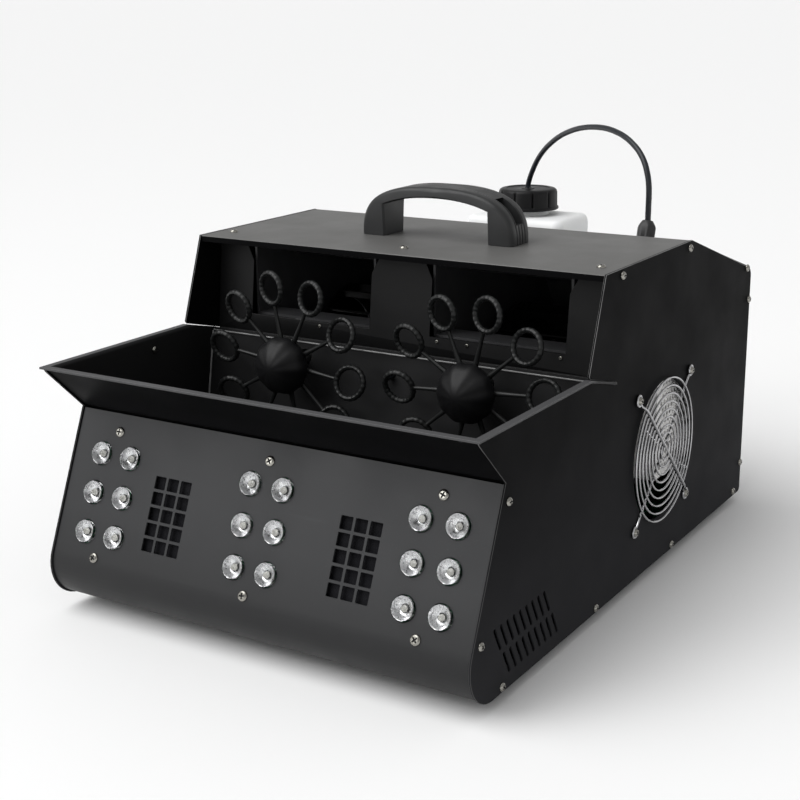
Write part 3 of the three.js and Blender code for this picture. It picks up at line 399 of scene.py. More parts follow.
class Shape:
    """Points and faces being gathered, in mm in the housing's frame."""

    def __init__(self):
        self.points, self.faces, self.paints = [], [], []

    def add(self, points, faces, place=None, paints=None):
        first = len(self.points)
        self.points += [place @ Vector(p) if place else Vector(p) for p in points]
        self.faces += [tuple(first + i for i in face) for face in faces]
        self.paints += paints or [0] * len(faces)
        return self

    def loft(self, rings, place=None, closed=False):
        """Skins rings of equal length, and closes the ends unless the last ring meets the first."""
        count, rows = len(rings[0]), len(rings)
        faces = []
        for row in range(rows if closed else rows - 1):
            a, b = row * count, (row + 1) % rows * count
            for i in range(count):
                j = (i + 1) % count
                faces.append((a + i, a + j, b + j, b + i))
        if not closed:
            faces.append(tuple(range(count))[::-1])
            faces.append(tuple(range((rows - 1) * count, rows * count)))
        return self.add([p for ring in rings for p in ring], faces, place)

    def turned(self, profile, place=None, segments=48, closed=False):
        """A turned piece about the place's Z, from a profile of (radius, height) points."""
        points, rows = [], []
        for radius, height in profile:
            ring = circle(radius, segments) if radius > 1e-6 else [(0.0, 0.0)]
            rows.append((len(points), len(ring)))
            points += level(ring, height)
        faces = []
        for (a, na), (b, nb) in zip(rows, rows[1:] + (rows[:1] if closed else [])):
            for i in range(segments):
                j = (i + 1) % segments
                face = (a + i % na, a + j % na, b + j % nb, b + i % nb)
                faces.append(tuple(dict.fromkeys(face)))
        return self.add(points, faces, place)

    def plate(self, outline, low, high, place=None, holes=(), chamfer=0.25, rim=None, flat=0):
        """A flat piece from height low to high, with every edge chamfered, its rim as rim says.

        The rim's chamfers carry paint 1, as do a sharp hole's walls, and the flats carry what flat says.
        """
        loops = [wound(outline, 1)] + [wound(hole, -1) for hole in holes]
        layers = [(low, chamfer), (low + chamfer, 0), (high - chamfer, 0), (high, chamfer)]
        if not chamfer:
            layers = layers[1:3]
        points = []
        for height, distance in layers:
            for k, loop in enumerate(loops):
                reach = distance if k or rim is None or not distance else rim
                points += level(inset(loop, reach), height)
        size = sum(len(loop) for loop in loops)
        caps = tessellate_polygon([
            [Vector((x, y, 0)) for x, y, _ in points[sum(map(len, loops[:k])):][:len(loop)]]
            for k, loop in enumerate(loops)
        ])
        top = size * (len(layers) - 1)
        faces = [tuple(reversed(cap)) for cap in caps] + [tuple(top + i for i in cap) for cap in caps]
        paints = [flat] * len(faces)
        for layer in range(len(layers) - 1):
            start = layer * size
            for k, loop in enumerate(loops):
                count = len(loop)
                paints += [int(layer != 1 and not k if chamfer else k > 0)] * count
                for i in range(count):
                    j = (i + 1) % count
                    faces.append((start + i, start + j, start + size + j, start + size + i))
                start += count
        return self.add(points, faces, place, paints)

    def block(self, x0, x1, y0, y1, z0, z1, chamfer=0.3):
        return self.plate(rectangle(x0, x1, y0, y1), z0, z1, None, (), chamfer)

    def wire(self, path, radius, sides, closed=False, place=None):
        """A round wire along a path of points."""
        path = [Vector(p) for p in path]
        count = len(path)
        rings, side = [], None
        for i, point in enumerate(path):
            before = path[i - 1] if closed or i else point
            after = path[(i + 1) % count] if closed or i < count - 1 else point
            along = (after - before).normalized()
            if side is None:
                side = along.orthogonal().normalized()
            side = (side - along * side.dot(along)).normalized()
            other = along.cross(side)
            rings.append([point + side * x + other * y for x, y in circle(radius, sides)])
        return self.loft(rings, place, closed)


def piece(name, shape, material, body="housing", instead_of=None, smooth=32, edge=None):
    """Makes a visible piece of a shape, which rides on a body and may stand for a CAD node."""
    mesh = bpy.data.meshes.new(name)
    mesh.from_pydata(shape.points, [], shape.faces)
    if edge:
        mesh.polygons.foreach_set("material_index", shape.paints)
    mesh.transform(HOUSING)
    mesh.validate()
    mesh.polygons.foreach_set("use_smooth", [True] * len(mesh.polygons))
    mesh.set_sharp_from_angle(angle=radians(smooth))
    for coat in (material, edge):
        if coat:
            mesh.materials.append(coat)
    obj = put(name, mesh)
    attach(obj, body)
    if instead_of:
        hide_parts(instead_of)
    return obj


def dress(node, material, edge=None, width=0.35):
    """Gives a CAD node that stays its material, and rounded edges of another if asked."""
    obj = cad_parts[node]
    for place in obj.material_slots:
        place.material = material
    if edge:
        obj.data.materials.append(edge)
        obj.modifiers.new("weld", "WELD").merge_threshold = 0.00002
        bevel = obj.modifiers.new("rounded_edges", "BEVEL")
        bevel.width = width / 1000
        bevel.segments = 2
        bevel.limit_method = "ANGLE"
        bevel.angle_limit = radians(40)
        bevel.material = 1
    return obj


# ------ feed hose

BOTTLE_AT = Vector((-61.4, 45, 0))
CAP_TOP = 256
GLAND_FOOT = Vector((112.5, -80))
HOSE_RADIUS = 2.5
HALF_WIDTH = panel_high[0] * 1000
ROOF_Z = (panel_high[2] - panel_low[2]) * 1000
ROOF_BACK_Y, REAR_TOP_Z = -147.9, 207.5
ROOF_SLOPE = (ROOF_Z - REAR_TOP_Z) / -ROOF_BACK_Y
SLOPE_NORMAL = Vector((0, ROOF_SLOPE, 1)).normalized()
GLAND_HEIGHT = 22
GAP = 0.3


def roof_z(y):
    return ROOF_Z - GAP - max(0, y - ROOF_BACK_Y) * ROOF_SLOPE


GLAND_BASE = Vector((*GLAND_FOOT, roof_z(GLAND_FOOT.y)))
HOSE_ROUTE = [
    (BOTTLE_AT.x, BOTTLE_AT.y, CAP_TOP + GAP), (-61.3, 44.9, 258.6), (-59.5, 43.7, 264), (-54.3, 40, 273.5),
    (-47.2, 35.4, 284), (-36.8, 28.3, 294.7), (-24, 19.6, 304), (-11.5, 11, 311), (0.5, 3, 315.9),
    (12, -4.9, 319.5), (23.7, -12.7, 322.1), (35, -20.4, 323.6), (46.2, -28, 324.3), (57.2, -35.4, 324),
    (68, -42.8, 322.5), (78.8, -50.1, 319.7), (90, -57.7, 314.6), (99.5, -64.2, 307.9), (105.7, -68.4, 300.4),
    (109.4, -71, 292.4), (111.5, -72.3, 284.4), (112.4, -73, 275), (112.4, -73.1, 265),
    GLAND_BASE + SLOPE_NORMAL * (GLAND_HEIGHT + GAP),
]


def make_hose():
    curve = bpy.data.curves.new("feed_hose_line", "CURVE")
    curve.dimensions = "3D"
    curve.bevel_depth = HOSE_RADIUS / 1000
    curve.bevel_resolution = 6
    curve.use_fill_caps = True
    curve.resolution_u = 8
    spline = curve.splines.new("BEZIER")
    spline.bezier_points.add(len(HOSE_ROUTE) - 1)
    for knot, point in zip(spline.bezier_points, HOSE_ROUTE):
        knot.co = HOUSING @ Vector(point)
        knot.handle_left_type = knot.handle_right_type = "AUTO"
    curve.materials.append(HOSE)
    hose = put("feed_hose_line", curve)
    bpy.context.view_layer.update()
    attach(hose, "housing")
    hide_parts("feed_hose")


make_hose()


# ------ screws


def cross(reach, width):
    """A Phillips recess's outline."""
    a, b = width / 2, reach
    return [(-a, -b), (a, -b), (a, -a), (b, -a), (b, a), (a, a), (a, b), (-a, b), (-a, a), (-b, a),
            (-b, -a), (-a, -a)]


def add_screw(shape, place, radius, height):
    """A pan-head screw with a cross recess, standing on the place."""
    flat = radius * 0.62
    skirt = [(radius, 0), (radius, height * 0.25), (radius * 0.95, height * 0.52),
             (radius * 0.82, height * 0.8), (flat, height)]
    shape.turned(skirt, place, 24)
    recess = cross(radius * 0.58, radius * 0.3)
    floor = height * 0.3
    shape.plate(circle(flat, 24), floor, height, place, [recess], 0)
    # the recess's walls and floor take painted shade
    shape.plate(circle(flat, 24), floor - 0.2, floor - 0.05, place, (), 0, None, 1)


def screws(name, places, radius, height):
    """Screws left by the screwdriver at different turns, as one piece."""
    shape = Shape()
    for i, place in enumerate(places):
        add_screw(shape, place @ Matrix.Rotation(i * 1.1, 4, "Z"), radius, height)
    return piece(name, shape, SCREW_STEEL, edge=PAINTED_SHADE)


# ------ housing panels

SHEET = 1.5
HALF_INNER = HALF_WIDTH - SHEET - GAP
FLANGE, ROOF_LIP, REAR_EDGE_Y = 14, 5, -2.1
ROOF_FRONT_Y = -311.8
HOOD_FOOT = (-335.5, 182.4)
RIM_Z = 182.4
RIM_SLOPE = 0.2575
RIM_FRONT_Y = -495.9
FRONT_TOP = Vector((-458.5, 144.2))
FRONT_LEAN = radians(22.9)
TOE_RADIUS = 30
TOE_Y = FRONT_TOP.x + (TOE_RADIUS - sin(FRONT_LEAN) * (FRONT_TOP.y - TOE_RADIUS)) / cos(FRONT_LEAN)
INSET = 1.5
FRONT_LENGTH = (FRONT_TOP.y - TOE_RADIUS - TOE_RADIUS * sin(FRONT_LEAN)) / cos(FRONT_LEAN)
FRONT_NORMAL = Vector((0, -cos(FRONT_LEAN), sin(FRONT_LEAN)))


def rim_top(y):
    """The tray's rim, level in front of the hood and falling behind its foot."""
    return RIM_Z - max(0, y - HOOD_FOOT[0]) * RIM_SLOPE


def toe_arc(depth):
    """The toe's outline in Y and Z, so deep under the side panels' edge."""
    return arc(TOE_Y, TOE_RADIUS, TOE_RADIUS - depth, 180 - degrees(FRONT_LEAN), 270, 14)


def on_side(sign, y, z, out=0.0):
    """A place on a side panel's outer face, or so far out from it."""
    return facing((sign, 0, 0), (sign * (HALF_WIDTH + out), y, z))


def sheet_at(sign, outer):
    """The lowest and highest X of a side sheet whose outer face is so far from the middle."""
    return sorted((sign * outer, sign * (outer - SHEET)))


def side_outline():
    """The panel in Y and Z, with a slot for the tray's rim that runs in under the hood."""
    slot_end, clear = -290.5, GAP + 0.1
    foot_y, foot_z = HOOD_FOOT
    under = RIM_Z - SHEET - clear
    return [
        *toe_arc(0), *arc(-4, 4, 4, -90, 0, 4),
        *arc(-9, REAR_TOP_Z - 8.5, 9, 0, 72, 5),
        (ROOF_BACK_Y, ROOF_Z), (ROOF_FRONT_Y, ROOF_Z),
        (foot_y - 0.4, foot_z + 2.6), (foot_y + 1.2, rim_top(foot_y) + clear),
        (slot_end, rim_top(slot_end) + clear), (slot_end, rim_top(slot_end) - SHEET - clear),
        (foot_y, under), (RIM_FRONT_Y + 0.5, under), (RIM_FRONT_Y + 2.1, RIM_Z - 4.2), tuple(FRONT_TOP),
    ]


INTAKE = (-195.1, 93.7)
INTAKE_RADIUS = 56
LOUVRE_ROWS = ((-472.2, 48.3), (-459, 27.2))
LOUVRE_COUNT, LOUVRE_PITCH, LOUVRE_WIDTH = 9, 8.9, 2.8
LOUVRE_LEAN = Vector((8.1, -15.2))


def louvres():
    holes = []
    for y, z in LOUVRE_ROWS:
        for i in range(LOUVRE_COUNT):
            start = Vector((y + i * LOUVRE_PITCH, z))
            holes.append(slot(start, start + LOUVRE_LEAN, LOUVRE_WIDTH))
    return holes


def side_panels():
    holes = [circle(INTAKE_RADIUS, 96, *INTAKE), *louvres()]
    for side, sign in SIDES:
        shape = Shape().plate(side_outline(), *sheet_at(sign, HALF_WIDTH), ALONG_X, holes, 0.3)
        piece(f"side_sheet_{side}", shape, PAINT, instead_of=f"side_panel_{side}",
              edge=EDGE_HIGHLIGHT)


side_panels()

LED_GROUP_X = (-138.6, 0, 138.6)
LED_COLUMN = 13.9
LED_ROWS = (32.4, 61.9, 91.4)
LENS_RADIUS = 8.4
VENT_X = (-81, 81)
VENT_TOP = 40.6
VENT_SIZE = (33, 54.9)
VENT_GRID = (3, 5)
VENT_BAR = 2.2


def on_front(x, s):
    """A place on the LED front's outer face: s down the slope, its Z outwards and its Y up the slope."""
    down = Vector((0, -sin(FRONT_LEAN), -cos(FRONT_LEAN)))
    return facing(FRONT_NORMAL, Vector((x, *FRONT_TOP)) + down * s - FRONT_NORMAL * INSET)


def vent_cells():
    """The vents' square openings, as outlines on the LED front."""
    columns, rows = VENT_GRID
    width = (VENT_SIZE[0] - (columns - 1) * VENT_BAR) / columns
    height = (VENT_SIZE[1] - (rows - 1) * VENT_BAR) / rows
    cells = []
    for middle in VENT_X:
        for i in range(columns):
            for j in range(rows):
                x = middle - VENT_SIZE[0] / 2 + i * (width + VENT_BAR)
                y = -VENT_TOP - j * (height + VENT_BAR)
                cells.append(rounded(x, x + width, y - height, y, 0.6, 2))
    return cells


def lens_seats(x):
    return [(x + dx, s) for s in LED_ROWS for dx in (-LED_COLUMN, LED_COLUMN)]


def front_sheet():
    """The LED front with its openings, and the toe, floor and rear upstand that go on from it."""
    holes = [circle(LENS_RADIUS + 0.6, 40, x, -s) for group in LED_GROUP_X for x, s in lens_seats(group)]
    end = FRONT_LENGTH - 8
    shape = Shape().plate(rectangle(-HALF_INNER, HALF_INNER, -end, -0.9), -SHEET, 0, on_front(0, 0),
                          holes + vent_cells(), 0.2, 0)
    last = on_front(0, end).translation
    path = [(last.y, last.z), *toe_arc(INSET), (REAR_EDGE_Y, INSET), (REAR_EDGE_Y, 16)]
    shape.plate(folded(path, SHEET), -HALF_INNER, HALF_INNER, ALONG_X, (), 0)
    for sign in (-1, 1):
        shape.block(*sheet_at(sign, HALF_INNER), -468, -12, INSET + 0.1, INSET + 15)
    piece("front_sheet", shape, FRONT_LIT_SHADED_PAINT, instead_of="base_shell")


front_sheet()


def vent_filters():
    """Dark foam pads behind the two vents."""
    shape = Shape()
    for x in VENT_X:
        middle = on_front(x, VENT_TOP + VENT_SIZE[1] / 2)
        shape.plate(rounded(-20, 20, -31, 31, 2), -SHEET - 5.5, -SHEET - 2.5, middle, (), 0.4)
    piece("vent_filters", shape, VENT_FOAM)


vent_filters()


def roof_sheet():
    """The folded roof with a flange down each side; the top is painted lighter than the flanges, a painted
    reflection of the light.
    """
    front, back = ROOF_FRONT_Y + 0.4, REAR_EDGE_Y
    path = [(back, roof_z(back) - FLANGE), *((y, roof_z(y)) for y in (back, ROOF_BACK_Y, front)),
            (front, roof_z(front) - ROOF_LIP)]
    shape = Shape().plate(folded(path, SHEET, 1.2), -HALF_INNER, HALF_INNER, ALONG_X, (), 0.3)
    # each flange's outline: (y, depth under the roof)
    flange = [(-6, FLANGE), (-6, 0.8), (ROOF_BACK_Y, 0.8), (front + 1, 0.8), (front + 1, ROOF_LIP),
              (front + 20, 12), (ROOF_BACK_Y, FLANGE)]
    strip = [(y, roof_z(y) - depth) for y, depth in flange]
    for sign in (-1, 1):
        shape.plate(strip, *sheet_at(sign, HALF_INNER), ALONG_X, (), 0.2)
    # the top takes the lit copy, the flanges the housing coat
    for i, face in enumerate(shape.faces):
        middle = sum((Vector(shape.points[k]) for k in face), Vector()) / len(face)
        shape.paints[i] = int(middle.z < roof_z(middle.y) - 0.7)
    piece("roof_sheet", shape, ROOF_LIT_PAINT, instead_of="roof_shell", edge=PAINT)


roof_sheet()

dress("fascia", FASCIA_PAINT, FASCIA_PAINT)
dress("tray_front_panel", PAINT, EDGE_HIGHLIGHT)
# these take the lighter copy of the black coat: painted light
for node in ("fluid_tray", "rear_panel", "bottle_bracket"):
    dress(node, LIT_TRAY_PAINT, EDGE_HIGHLIGHT)

PAN_CORNER_X = 176.8
PAN_CORNER = [(-304.2, 171.4), (-311.5, 130), (-319.6, 84)]


def tray_highlight_beads():
    """Bright beads up the pan's two rear corners and along its rear wall's top edge, painted highlights, and
    a dark strip in the gap between that wall and the fascia, painted shade.
    """
    shape = Shape().wire([(-176, -304.6, 172.2), (176, -304.6, 172.2)], 0.6, 10)
    for sign in (-1, 1):
        shape.wire([(sign * PAN_CORNER_X, y, z) for y, z in PAN_CORNER], 0.8, 10)
    piece("tray_highlight_beads", shape, HIGHLIGHT_BEAD)
    # a dark strip closing the gap behind the rear wall: painted shade
    seal = Shape().block(-174, 174, -300.2, -296.9, 169, 173.6)
    piece("tray_gap_shade_strip", seal, RUBBER)


tray_highlight_beads()

SIDE_SCREWS = (
    (-283.7, 247.4), (-152.4, 246.9), (-12, 207.8), (-4, 178.7), (-4, 28.4), (-18.3, 4.8), (-167, 4.3),
    (-315, 4.2), (-462, 4.7), (-491.3, 45.3), (-455, 131.1),
)
FASCIA_SCREW_Z = 184.4


def housing_screws():
    for side, sign in SIDES:
        screws(f"side_screws_{side}", [on_side(sign, *spot) for spot in SIDE_SCREWS], 3.2, 2)
    places = [facing((0, 0, 1), (x, -286, roof_z(-286)), (0, 1, 0)) for x in (-165, 0, 165)]
    screws("roof_screws", places, 3.4, 2)
    places = [on_front(x, s) for x in (-139.6, -1.5, 137.8) for s in (14.5, 109.2)]
    screws("led_panel_screws", places, 3.9, 1.6)
    low, high = housing_box("fascia")
    lean = (high.y - 1.2 - low.y) / (high.z - low.z)
    y, z = low.y + (FASCIA_SCREW_Z - low.z) * lean, FASCIA_SCREW_Z
    places = [facing((0, -1, lean), (x, y, z)) for x in (-74.6, 34.5, 60.7, 139)]
    screws("fascia_screws", places, 1.6, 1.0)
    places = [facing((-sign, 0, 0), (sign * 176.9, -378.3, 170.5)) for sign in (-1, 1)]
    screws("tray_screws", places, 3, 1.8)


housing_screws()


# ------ handle

HANDLE_X, HANDLE_Y = 3, -229
HANDLE_HALF, HANDLE_HEIGHT, HANDLE_INNER = 69, 41.5, 47


def superellipse(half, height, power, steps):
    """The upper half of a superellipse on the roof, as X and Z points from right to left."""
    points = [(cos(pi * i / steps), sin(pi * i / steps)) for i in range(steps + 1)]
    return [(HANDLE_X + half * copysign(abs(c) ** (2 / power), c),
             ROOF_Z + height * abs(s) ** (2 / power)) for c, s in points]


def handle_opening(stations, leg):
    """The inner curve: so many stations up each straight leg, and the rest along the arch."""
    arch = [p for p in superellipse(HANDLE_INNER + 22, HANDLE_HEIGHT - 8.5, 2.2, 400)
            if abs(p[0] - HANDLE_X) < HANDLE_INNER - 0.3]
    spring = arch[0][1] - ROOF_Z
    inner = []
    for i in range(stations + 1):
        if leg < i < stations - leg:
            inner.append(arch[round((i - leg) / (stations - 2 * leg) * (len(arch) - 1))])
        else:
            side, share = 1 if i <= leg else -1, min(i, stations - i) / leg
            inner.append((HANDLE_X + side * HANDLE_INNER, ROOF_Z + spring * share))
    return inner


def handle_shape():
    """An arch skinned between an outer and an inner curve, ridged on top, with a pocket at each end."""
    stations, half_depth, thick = 120, 17, 1.6
    outer = superellipse(HANDLE_HALF, HANDLE_HEIGHT, 2.7, stations)
    inner = handle_opening(stations, 24)
    # across the top: (depth, drop), with a groove either side of the middle band
    across = [(-half_depth, 4.2), (-16.6, 2.4), (-15.6, 1), (-14, 0.2), (-12, 0), (-8.2, 0), (-7.8, 1),
              (-7, 1), (-6.6, 0), (-6.1, 0), (-5.9, 0), (-3.4, 0), (-3, 0), (-2, 0), (-1.6, 0)]
    across += [(-d, drop) for d, drop in across[::-1]]
    under = [(half_depth, thick), (half_depth - thick, 0), (-half_depth + thick, 0), (-half_depth, thick)]
    rings = []
    for i, (top, bottom) in enumerate(zip(map(Vector, outer), map(Vector, inner))):
        towards = (bottom - top).normalized()
        taper = 1 - 0.12 * max(0, abs(i / stations - 0.5) * 2 - 0.55) / 0.45
        height = top.y - ROOF_Z
        at_end = abs(top.x - HANDLE_X) > 36
        pocket = 9 if at_end and 16 < height < 34 else 0
        flute = 1.1 if at_end and height < 14.5 else 0
        section = []
        for depth, drop in across:
            sunk = drop + pocket * (abs(depth) < 6) + flute * (1.9 < abs(depth) < 3.1)
            section.append((depth, top + towards * sunk))
        section += [(depth, bottom - towards * lift) for depth, lift in under]
        rings.append([(at.x, HANDLE_Y + depth * taper, at.y) for depth, at in section])
    return Shape().loft(rings)


piece("carry_handle", handle_shape(), BLACK_PLASTIC, instead_of="handle", smooth=38)


# ------ LED banks

LENS_STAND = 4.6  # above the sheet's outer face
HONEYCOMB = 1.5
WELL = [(0, -3.4), (2.6, -3.4), (2.8, -3), (2.7, -2.6), (0, -2.6)]
CHIP = [(0, -2.55), (2.3, -2.55), (2.2, -2.1), (0.8, -1.9), (0.7, -2.2), (0, -2.2)]
CUP = [(7.9, 1.4), (7.7, 1.4), (6.6, 0.2), (5.2, -1.2), (3.8, -2.3), (2.1, -3.2), (2.2, -3.7), (5.6, -2),
       (7.9, 1)]


def lens_rings():
    """A lens: a low crown of honeycomb beads round a small central well."""
    steps, count = 20, 60
    rings = [level(circle(LENS_RADIUS - 0.3, count), -2.4),
             level(circle(LENS_RADIUS - 0.2, count), LENS_STAND - 2.2)]
    for k in range(steps + 1):
        radius = (LENS_RADIUS - 0.5) * (1 - k / steps) + 0.25
        crown = LENS_STAND - 2.0 * (radius / LENS_RADIUS) ** 2.4
        well = 0.7 * exp(-((radius / 1.9) ** 2))
        share = min(1, (LENS_RADIUS - 0.6 - radius) / 1.2 + 0.15)
        ring = []
        for x, y in circle(radius, count):
            waves = [cos(TAU / HONEYCOMB * (x * cos(a) + y * sin(a))) for a in (0, TAU / 6, TAU / 3)]
            bead = 0.13 * (sum(waves) / 3 + 0.5) * share
            ring.append((x, y, crown + bead - well))
        rings.append(ring)
    return rings


def cup_rings():
    """A reflector's faceted bowl, closed behind."""
    rings = []
    for k, (radius, height) in enumerate(CUP):
        facet = 0.22 if 1 < k < 5 else 0
        bulges = [1 + facet / radius * (i % 2) for i in range(36)]
        points = circle(radius, 36, turn=(k % 2) * TAU / 36)
        rings.append([(x * bulge, y * bulge, height) for bulge, (x, y) in zip(bulges, points)])
    return rings


def led_banks():
    for group, x0 in zip(("left", "centre", "right"), LED_GROUP_X):
        lenses, cups, wells, chips = Shape(), Shape(), Shape(), Shape()
        seats = lens_seats(x0)
        holes = [circle(LENS_RADIUS - 0.5, 32, x - x0, LED_ROWS[1] - s) for x, s in seats]
        middle = on_front(x0, LED_ROWS[1])
        lenses.plate(rounded(-27, 27, -44, 44, 4), -SHEET - 1.9, -SHEET - 0.3, middle, holes)
        for seat in [on_front(x, s) for x, s in seats]:
            lenses.loft(lens_rings(), seat)
            cups.loft(cup_rings(), seat, True)
            wells.turned(WELL, seat, 24)
            chips.turned(CHIP, seat, 24)
        piece(f"lens_set_{group}", lenses, LENS, instead_of=f"lens_bank_{group}", smooth=50)
        piece(f"lens_cups_{group}", cups, REFLECTOR)
        # a near-black well round each chip: painted shade
        piece(f"led_wells_{group}", wells, PAINTED_SHADE)
        piece(f"led_chips_{group}", chips, LED_CHIP)
        dress(f"led_board_{group}", BOARD)


led_banks()


# ------ wand wheels

WHEEL_Y, WHEEL_Z = -331, 160
WHEEL_X = 83
WAND_COUNT = 10
RING_CENTRE, RING_RADIUS, RING_WIRE = 60.9, 12.2, 1.9
RING_TWIST = radians(-16)
WHEEL_PHASE = {"left": radians(29), "right": radians(4)}


def add_wand(shape, place):
    """A ridged ring on a tapering arm, along the place's X."""
    twist = Matrix.Rotation(RING_TWIST + TAU / 4, 4, "X")
    count, sides = 80, 12
    rings = []
    for i in range(count):
        angle = TAU * i / count
        ridge = 0.2 * cos(angle * 20)
        ring = []
        for u, v in circle(1, sides):
            radius = RING_RADIUS + u * (RING_WIRE * 1.12 + ridge)
            ring.append((radius * cos(angle), radius * sin(angle), v * (RING_WIRE * 1.3 + ridge)))
        rings.append(ring)
    shape.loft(rings, place @ Matrix.Translation((RING_CENTRE, 0, 0)) @ twist, True)
    end = RING_CENTRE - RING_RADIUS - 0.6
    arm = [(0, 17.9), (2.3, 18), (2.1, 24), (1.55, 36), (1.5, 46), (1.9, end), (0, end + 0.1)]
    shape.turned(arm, place @ Matrix.Rotation(TAU / 4, 4, "Y"), 14)


def hub_shape(forward):
    """A ten-sided dome with a soft ridge towards each arm."""
    profile = [(21.8, 2.3), (22.9, 3), (23.2, 4.8), (22.9, 7.6), (21.8, 10.8), (19.8, 14), (16.8, 17),
               (13, 19.6), (8.8, 21.6), (4.6, 22.9), (1, 23.4)]
    rings = [polar(80, height, lambda a: radius * (0.98 + 0.02 * cos(WAND_COUNT * a)))
             for radius, height in profile]
    return Shape().loft(rings, forward)


def wheels():
    disc = [(4.3, -2), (19.6, -2), (20.4, -1.2), (20.4, 1.2), (19.6, 2), (4.3, 2)]
    for side, sign in SIDES:
        centre = Matrix.Translation((sign * WHEEL_X, WHEEL_Y, WHEEL_Z))
        forward = facing((0, -1, 0), centre.translation)
        star = Shape().turned(disc, forward, 64, True)
        for i in range(WAND_COUNT):
            angle = WHEEL_PHASE[side] + TAU * i / WAND_COUNT
            add_wand(star, centre @ Matrix.Rotation(-angle, 4, "Y"))
        wheel = f"wheel_{side}"
        piece(f"wand_wheel_{side}", star, WAND_PLASTIC, wheel, f"wand_star_{side}")
        hub = hub_shape(forward)
        piece(f"wheel_cone_{side}", hub, CAP_PLASTIC, wheel, f"wheel_hub_{side}", 50)
        for node in ("wheel_shaft", "wheel_motor", "motor_bracket"):
            dress(f"{node}_{side}", ZINC)


wheels()


# ------ blowers and intake guards

GUARD_RINGS = 9
GUARD_INNER, GUARD_OUTER = 7.5, INTAKE_RADIUS + 1.5
GUARD_BOLT, GUARD_CURL = 74.1, 4.1
GUARD_STAND, GUARD_FOOT = 2.7, 1.1  # the wires' middles over the panel
WIRE = 0.85


def guard_shape(sign):
    """Nine rings between two crossed wires, which dip to the panel and curl round their screws."""
    shape = Shape()
    face = on_side(sign, *INTAKE)
    for i in range(GUARD_RINGS):
        radius = GUARD_INNER + (GUARD_OUTER - GUARD_INNER) * i / (GUARD_RINGS - 1)
        shape.wire(level(circle(radius, 96), GUARD_STAND), WIRE, 10, True, face)
    turns = [pi * (1 + 0.13 * k) for k in range(15)]
    curl = [(GUARD_BOLT + GUARD_CURL * cos(a), GUARD_CURL * sin(a), GUARD_FOOT + 0.5 * k / 14)
            for k, a in enumerate(turns)]
    for turn in (1, -1):
        rise = (4.4 if turn == -sign else 1.0) - GUARD_FOOT
        leg = [(x, 0, GUARD_FOOT + rise * share) for x, share in ((58, 1), (61, 0.9), (64, 0.5), (66.5, 0))]
        other = [(-x, -y, z) for x, y, z in reversed(leg + curl)]
        diagonal = face @ Matrix.Rotation(turn * TAU / 8, 4, "Z")
        shape.wire(other + leg + curl, WIRE * 1.15, 10, False, diagonal)
    return shape


def blowers_and_guards():
    for side, sign in SIDES:
        guard = guard_shape(sign)
        piece(f"wire_guard_{side}", guard, CHROME, instead_of=f"intake_guard_{side}")
        face = on_side(sign, *INTAKE, 0.2)
        spots = [face @ Matrix.Translation((x, y, 0)) for x, y in circle(GUARD_BOLT, 4, turn=TAU / 8)]
        screws(f"guard_screws_{side}", spots, 3.3, 3.6)
        dress(f"blower_housing_{side}", DUCT_PLASTIC)
        dress(f"blower_impeller_{side}", FAN_PLASTIC)
        dress(f"blower_motor_{side}", ZINC)


blowers_and_guards()


# ------ bottle, cap and gland

BOTTLE_WIDTH, BOTTLE_DEPTH, BOTTLE_FLOOR, SHOULDER_Z, NECK = 104, 70, 10, 231, 21
CAP_RADIUS, CAP_BOTTOM = 28.5, 236.3
GRIP_PANELS = 10


def bottle_ring(shrink, z):
    """One level of the bottle: a rounded rectangle, drawn in by so much."""
    half_x, half_y = BOTTLE_WIDTH / 2 - shrink, BOTTLE_DEPTH / 2 - shrink
    return level(rounded(-half_x, half_x, -half_y, half_y, max(10 - shrink, 1.5), 17), z)


def bottle_shape():
    """The moulded body with a ridge pinched in low down and high up, and an open neck."""
    base = [(8, 0), (4.4, 0.6), (1.8, 2.2), (0.4, 4.6), (0, 8)]
    shoulder = [(0, 9), (0.4, 5.6), (1.8, 2.6), (4.2, 0.8), (8, 0.1)]
    rings = [bottle_ring(shrink, BOTTLE_FLOOR + rise) for shrink, rise in base]
    for start in (60, 186):
        rings += [bottle_ring(pinch, start + rise) for pinch, rise in ((0, 0), (0.9, 2), (0.9, 4), (0, 6))]
    rings += [bottle_ring(shrink, SHOULDER_Z - drop) for shrink, drop in shoulder]
    neck = [(NECK + 3, SHOULDER_Z), (NECK + 0.6, SHOULDER_Z + 0.7), (NECK, SHOULDER_Z + 2),
            (NECK, CAP_TOP - 5), (NECK - 2.2, CAP_TOP - 5), (NECK - 2.2, SHOULDER_Z + 2)]
    rings += [level(circle(radius, 72, turn=-TAU / 4), z) for radius, z in neck]
    return Shape().loft(rings, Matrix.Translation(BOTTLE_AT))


def grip(angle):
    """How deep a grip groove and the fine ribs cut into the cap at an angle."""
    groove = max(0, 1 - abs((angle * GRIP_PANELS / TAU) % 1 - 0.5) / 0.09)
    return 1.5 * groove + 0.12 * cos(angle * 80)


